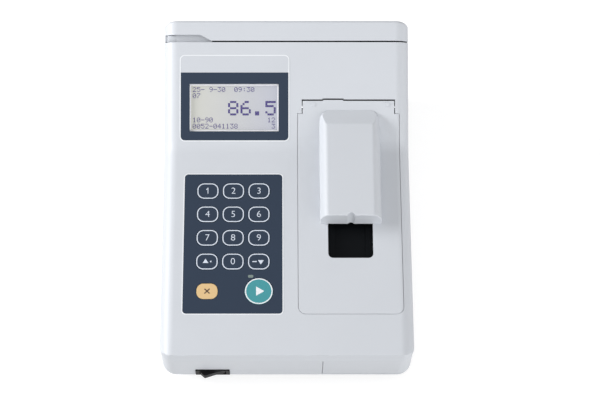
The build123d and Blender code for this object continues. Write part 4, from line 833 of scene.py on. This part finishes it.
outline_pattern = rounded_ring(
    "outline_pattern",
    key_width - outline_inset,
    key_height - outline_inset,
    key_corner,
    outline_line,
    ink_height,
)
for row, names in enumerate(key_grid):
    for column, key in enumerate(names):
        key_x = key_columns[column]
        key_y = key_rows[row]
        finish_node(key, key_print)
        print_on_key(copy_of(outline_pattern, key + "_outline"), key, key_x, key_y)
        if key == "key_up":
            arrow = printed_arrow("key_up_arrow", arrow_width, arrow_height, 1)
            print_on_key(arrow, key, key_x - arrow_left, key_y)
            point = rounded_plate("key_up_point", point_size, point_size, point_corner, ink_height)
            print_on_key(point, key, key_x + point_right, key_y)
        elif key == "key_down":
            arrow = printed_arrow("key_down_arrow", arrow_width, arrow_height, -1)
            print_on_key(arrow, key, key_x + arrow_right, key_y)
            dash = rounded_plate("key_down_dash", dash_length, dash_width, dash_corner, ink_height)
            print_on_key(dash, key, key_x - dash_left, key_y)
        else:
            print_on_key(printed_figure(key + "_figure", key[-1], figure_size), key, key_x, key_y)
        if key == "key_1":
            flag = rounded_plate("key_1_flag", flag_length, flag_width, flag_corner, ink_height)
            flag.data.transform(Matrix.Rotation(flag_turn, 4, "Z"))
            print_on_key(flag, key, key_x - flag_left, key_y + flag_up)
bpy.data.objects.remove(outline_pattern)

# Clear key and start key
# Two more pads of the sheet: the clear key is printed tan and the round start key teal.
# A dark cross marks the first, and a white ring and a white triangle the second.
clear_key_place = (-0.0625, -0.1258)
start_key_place = (-0.0220, -0.1258)
clear_stroke_length = 0.0058
clear_stroke_width = 0.0010
clear_stroke_corner = 0.0004
start_ring_radius = 0.01085
start_ring_corner = 0.0107
start_ring_line = 0.0009
start_mark_width = 0.0078
start_mark_height = 0.0064
key_tan = moulded_plastic("key_tan", (0.66, 0.46, 0.23), shine=0.36, mottle=0.05, grain_scale=1600)
key_teal = moulded_plastic(
    "key_teal", (0.046, 0.265, 0.295), shine=0.34, mottle=0.06, grain_scale=1600
)
ink_brown = moulded_plastic("ink_brown", (0.09, 0.05, 0.03), shine=0.4, grain_depth=0.1)
finish_node("key_clear", key_tan)
finish_node("key_start", key_teal)
for turn, name in ((45, "clear_stroke_rising"), (-45, "clear_stroke_falling")):
    stroke = rounded_plate(
        name, clear_stroke_length, clear_stroke_width, clear_stroke_corner, ink_height
    )
    stroke.data.transform(Matrix.Rotation(math.radians(turn), 4, "Z"))
    lay_on(stroke, deck_plane, *clear_key_place, key_surface, "key_clear_pad", ink_brown, "key_tan")
start_ring = rounded_ring(
    "start_ring",
    2 * start_ring_radius,
    2 * start_ring_radius,
    start_ring_corner,
    start_ring_line,
    ink_height,
)
lay_on(start_ring, deck_plane, *start_key_place, key_surface, "key_start_pad", ink_and_highlight_white, "key_teal")
start_mark = printed_arrow("start_mark", start_mark_width, start_mark_height, 1)
start_mark.data.transform(Matrix.Rotation(math.radians(-90), 4, "Z"))
lay_on(start_mark, deck_plane, *start_key_place, key_surface, "key_start_pad", ink_and_highlight_white, "key_teal")

# Ready light
# A small lens of clear plastic, set into the sheet above the start key.
# It shows the light on the keypad's board below, which is off here.
lens_green = moulded_plastic(
    "lens_green", (0.17, 0.22, 0.20), shine=0.2, mottle=0.1, grain_depth=0.05
)
finish_node("ready_light", lens_green)

# Metal parts
# Plates, pins, rods and screws are turned or rolled steel and aluminium, with fine drawn lines.
# The group stretches a noise along one axis for the lines, and adds faint stains to the shine.
stain_scale = 60.0
stain_spread = 0.2
drawn_metal = bpy.data.node_groups.new("drawn_metal", "ShaderNodeTree")
metal_inputs = {"Colour": "Color", "Shine": "Float", "Line Scale": "Vector", "Line Depth": "Float"}
add_sockets(drawn_metal, "INPUT", metal_inputs)
add_sockets(drawn_metal, "OUTPUT", finish_outputs)
metal_in = drawn_metal.nodes.new("NodeGroupInput")
metal_out = drawn_metal.nodes.new("NodeGroupOutput")
metal_place = drawn_metal.nodes.new("ShaderNodeTexCoord")
metal_stretch = add_node(drawn_metal, "ShaderNodeVectorMath", operation="MULTIPLY")
metal_lines = add_node(drawn_metal, "ShaderNodeTexNoise", in_Scale=1.0, in_Detail=3.0)
metal_stain = add_node(drawn_metal, "ShaderNodeTexNoise", in_Scale=stain_scale, in_Detail=3.0)
metal_tone = add_node(drawn_metal, "ShaderNodeMapRange")
metal_tone.inputs["To Min"].default_value = 0.9
metal_tone.inputs["To Max"].default_value = 1.08
metal_tint = add_node(drawn_metal, "ShaderNodeVectorMath", operation="SCALE")
metal_shine = add_node(drawn_metal, "ShaderNodeMath", operation="MULTIPLY_ADD")
metal_shine.inputs[1].default_value = stain_spread
metal_bump = add_node(drawn_metal, "ShaderNodeBump", in_Distance=bump_distance)
metal_links = drawn_metal.links
metal_links.new(metal_place.outputs["Object"], metal_stretch.inputs[0])
metal_links.new(metal_in.outputs["Line Scale"], metal_stretch.inputs[1])
metal_links.new(metal_stretch.outputs["Vector"], metal_lines.inputs["Vector"])
metal_links.new(metal_place.outputs["Object"], metal_stain.inputs["Vector"])
metal_links.new(metal_lines.outputs["Fac"], metal_tone.inputs["Value"])
metal_links.new(metal_in.outputs["Colour"], metal_tint.inputs[0])
metal_links.new(metal_tone.outputs["Result"], metal_tint.inputs["Scale"])
metal_links.new(metal_stain.outputs["Fac"], metal_shine.inputs[0])
metal_links.new(metal_in.outputs["Shine"], metal_shine.inputs[2])
metal_links.new(metal_lines.outputs["Fac"], metal_bump.inputs["Height"])
metal_links.new(metal_in.outputs["Line Depth"], metal_bump.inputs["Strength"])
metal_links.new(metal_tint.outputs["Vector"], metal_out.inputs["Colour"])
metal_links.new(metal_shine.outputs["Value"], metal_out.inputs["Roughness"])
metal_links.new(metal_bump.outputs["Normal"], metal_out.inputs["Normal"])


def bare_metal(name, colour, shine, line_scale, line_depth=0.15):
    """A bare metal with drawn lines; line_scale is small along the lines and large across them."""
    material = bpy.data.materials.new(name)
    material.use_nodes = True
    tree = material.node_tree
    lines = tree.nodes.new("ShaderNodeGroup")
    lines.node_tree = drawn_metal
    lines.inputs["Colour"].default_value = (*colour, 1)
    lines.inputs["Shine"].default_value = shine
    lines.inputs["Line Scale"].default_value = line_scale
    lines.inputs["Line Depth"].default_value = line_depth
    shader = tree.nodes["Principled BSDF"]
    shader.inputs["Metallic"].default_value = 1.0
    tree.links.new(lines.outputs["Colour"], shader.inputs["Base Color"])
    tree.links.new(lines.outputs["Roughness"], shader.inputs["Roughness"])
    tree.links.new(lines.outputs["Normal"], shader.inputs["Normal"])
    return material


plate_steel = bare_metal("plate_steel", (0.60, 0.61, 0.63), 0.26, (60, 1800, 1800))
rod_steel = bare_metal("rod_steel", (0.70, 0.71, 0.73), 0.10, (1800, 40, 1800), 0.08)
milled_aluminium = bare_metal("milled_aluminium", (0.72, 0.73, 0.75), 0.24, (900, 900, 60))
screw_zinc = bare_metal("screw_zinc", (0.62, 0.62, 0.60), 0.24, (700, 700, 700))
for node_name in ("dome_switches", "chassis", "feed_motor"):
    finish_node(node_name, plate_steel)
for node_name in ("thermal_head", "tear_bar", "printer_motor"):
    finish_node(node_name, plate_steel)
for node_name in ("lid_hinge_pins", "cover_hinge_pins", "guide_rods"):
    finish_node(node_name, rod_steel)
finish_node("incubator_block", milled_aluminium)
for node_name in ("case_screws", "backup_battery"):
    finish_node(node_name, screw_zinc)

# Slide port
# The port's liner, the slide carriage below it and the photometer's head are black moulded plastic.
# They are dull, so that no stray light reaches the measurement.
port_black = moulded_plastic(
    "port_black", (0.0025, 0.0032, 0.0042), shine=0.5, mottle=0.3, grain_depth=0.35, gloss=0.07
)
for node_name in ("port_liner", "slide_carriage", "photometer_head"):
    finish_node(node_name, port_black)

# Gears
# The feed pinion that drives the carriage and the printer's three small gears.
# They are moulded in natural white acetal and run dry on their pins.
gear_white = moulded_plastic(
    "gear_white", (0.78, 0.77, 0.72), shine=0.4, grain_scale=1500, grain_depth=0.1
)
for node_name in ("feed_pinion", "platen_gear", "idler_gear", "motor_gear"):
    finish_node(node_name, gear_white)

# Printer under the lid
# A black moulded frame and cradle hold the paper roll, and the rubber platen rides on the lid.
# The roll is thin white paper wound tight, whose edges show as fine rings on its two ends.
bay_grey = moulded_plastic("bay_grey", (0.34, 0.35, 0.37), shine=0.5)
part_black = moulded_plastic("part_black", (0.018, 0.018, 0.020), shine=0.42, mottle=0.2)
platen_rubber = moulded_plastic(
    "platen_rubber", (0.035, 0.035, 0.038), shine=0.62, mottle=0.2, grain_scale=900
)
finish_node("paper_bay", bay_grey)
for node_name in ("printer_frame", "platen_bracket"):
    finish_node(node_name, part_black)
finish_node("platen_roller", platen_rubber)

roll_y = 0.108
roll_z = 0.079
ring_pitch = 0.0004
fibre_scale = 1500.0
paper_white = bpy.data.materials.new("paper_white")
paper_white.use_nodes = True
paper_tree = paper_white.node_tree
paper_shader = paper_tree.nodes["Principled BSDF"]
paper_shader.inputs["Roughness"].default_value = 0.75
paper_place = paper_tree.nodes.new("ShaderNodeTexCoord")
paper_centre = add_node(paper_tree, "ShaderNodeMapping")
paper_centre.inputs["Location"].default_value = (0, -roll_y, -roll_z)
paper_flat = add_node(paper_tree, "ShaderNodeVectorMath", operation="MULTIPLY")
paper_flat.inputs[1].default_value = (0, 1, 1)
paper_radius = add_node(paper_tree, "ShaderNodeVectorMath", operation="LENGTH")
paper_turns = add_node(paper_tree, "ShaderNodeMath", operation="MULTIPLY")
paper_turns.inputs[1].default_value = 2 * math.pi / ring_pitch
paper_wave = add_node(paper_tree, "ShaderNodeMath", operation="SINE")
paper_tone = add_node(paper_tree, "ShaderNodeMapRange")
paper_tone.inputs["From Min"].default_value = -1.0
paper_colours = paper_tree.nodes.new("ShaderNodeValToRGB")
paper_colours.color_ramp.elements[0].color = (0.70, 0.70, 0.68, 1)
paper_colours.color_ramp.elements[1].color = (0.84, 0.84, 0.82, 1)
paper_fibre = add_node(paper_tree, "ShaderNodeTexNoise", in_Scale=fibre_scale, in_Detail=3.0)
paper_bump = add_node(paper_tree, "ShaderNodeBump", in_Strength=0.2, in_Distance=bump_distance)
paper_links = paper_tree.links
paper_links.new(paper_place.outputs["Object"], paper_centre.inputs["Vector"])
paper_links.new(paper_centre.outputs["Vector"], paper_flat.inputs[0])
paper_links.new(paper_flat.outputs["Vector"], paper_radius.inputs[0])
paper_links.new(paper_radius.outputs["Value"], paper_turns.inputs[0])
paper_links.new(paper_turns.outputs["Value"], paper_wave.inputs[0])
paper_links.new(paper_wave.outputs["Value"], paper_tone.inputs["Value"])
paper_links.new(paper_tone.outputs["Result"], paper_colours.inputs["Fac"])
paper_links.new(paper_colours.outputs["Color"], paper_shader.inputs["Base Color"])
paper_links.new(paper_place.outputs["Object"], paper_fibre.inputs["Vector"])
paper_links.new(paper_fibre.outputs["Fac"], paper_bump.inputs["Height"])
paper_links.new(paper_bump.outputs["Normal"], paper_shader.inputs["Normal"])
finish_node("paper_roll", paper_white)

# Circuit boards
# The main board, the keypad's board and the display's board are screwed to the housing from inside.
# They are green glass laminate, with copper tracks that show faintly under the solder mask.
track_length = 0.012
track_pitch = 0.0025
track_width = 0.0003
board_green = bpy.data.materials.new("board_green")
board_green.use_nodes = True
board_tree = board_green.node_tree
board_shader = board_tree.nodes["Principled BSDF"]
board_shader.inputs["Roughness"].default_value = 0.3
board_place = board_tree.nodes.new("ShaderNodeTexCoord")
board_tracks = add_node(board_tree, "ShaderNodeTexBrick", offset=0.5)
board_tracks.inputs["Scale"].default_value = 1.0
board_tracks.inputs["Brick Width"].default_value = track_length
board_tracks.inputs["Row Height"].default_value = track_pitch
board_tracks.inputs["Mortar Size"].default_value = track_width
board_tracks.inputs["Color1"].default_value = (0.020, 0.115, 0.050, 1)
board_tracks.inputs["Color2"].default_value = (0.024, 0.130, 0.058, 1)
board_tracks.inputs["Mortar"].default_value = (0.050, 0.210, 0.085, 1)
board_bump = add_node(board_tree, "ShaderNodeBump", in_Strength=0.2, in_Distance=bump_distance)
board_links = board_tree.links
board_links.new(board_place.outputs["Object"], board_tracks.inputs["Vector"])
board_links.new(board_tracks.outputs["Color"], board_shader.inputs["Base Color"])
board_links.new(board_tracks.outputs["Fac"], board_bump.inputs["Height"])
board_links.new(board_bump.outputs["Normal"], board_shader.inputs["Normal"])
for node_name in ("main_board", "keypad_board", "lcd_board"):
    finish_node(node_name, board_green)
finish_node("buzzer", part_black)

# Power switch and inlet
# The rocker and its housing snap into the undercut face at the lower left, in black plastic.
# The inlet at the rear is of the same plastic.
switch_black = moulded_plastic(
    "switch_black", (0.005, 0.005, 0.006), shine=0.55, mottle=0.15, grain_depth=0.15, gloss=0.12
)
for node_name in ("switch_housing", "power_rocker", "dc_inlet"):
    finish_node(node_name, switch_black)

# Rubber feet
# Four round feet of soft black rubber are glued into shallow seats of the base.
# Their skin is dull and slightly uneven.
foot_rubber = moulded_plastic(
    "foot_rubber", (0.022, 0.022, 0.023), shine=0.7, mottle=0.25, grain_scale=1100
)
finish_node("rubber_feet", foot_rubber)
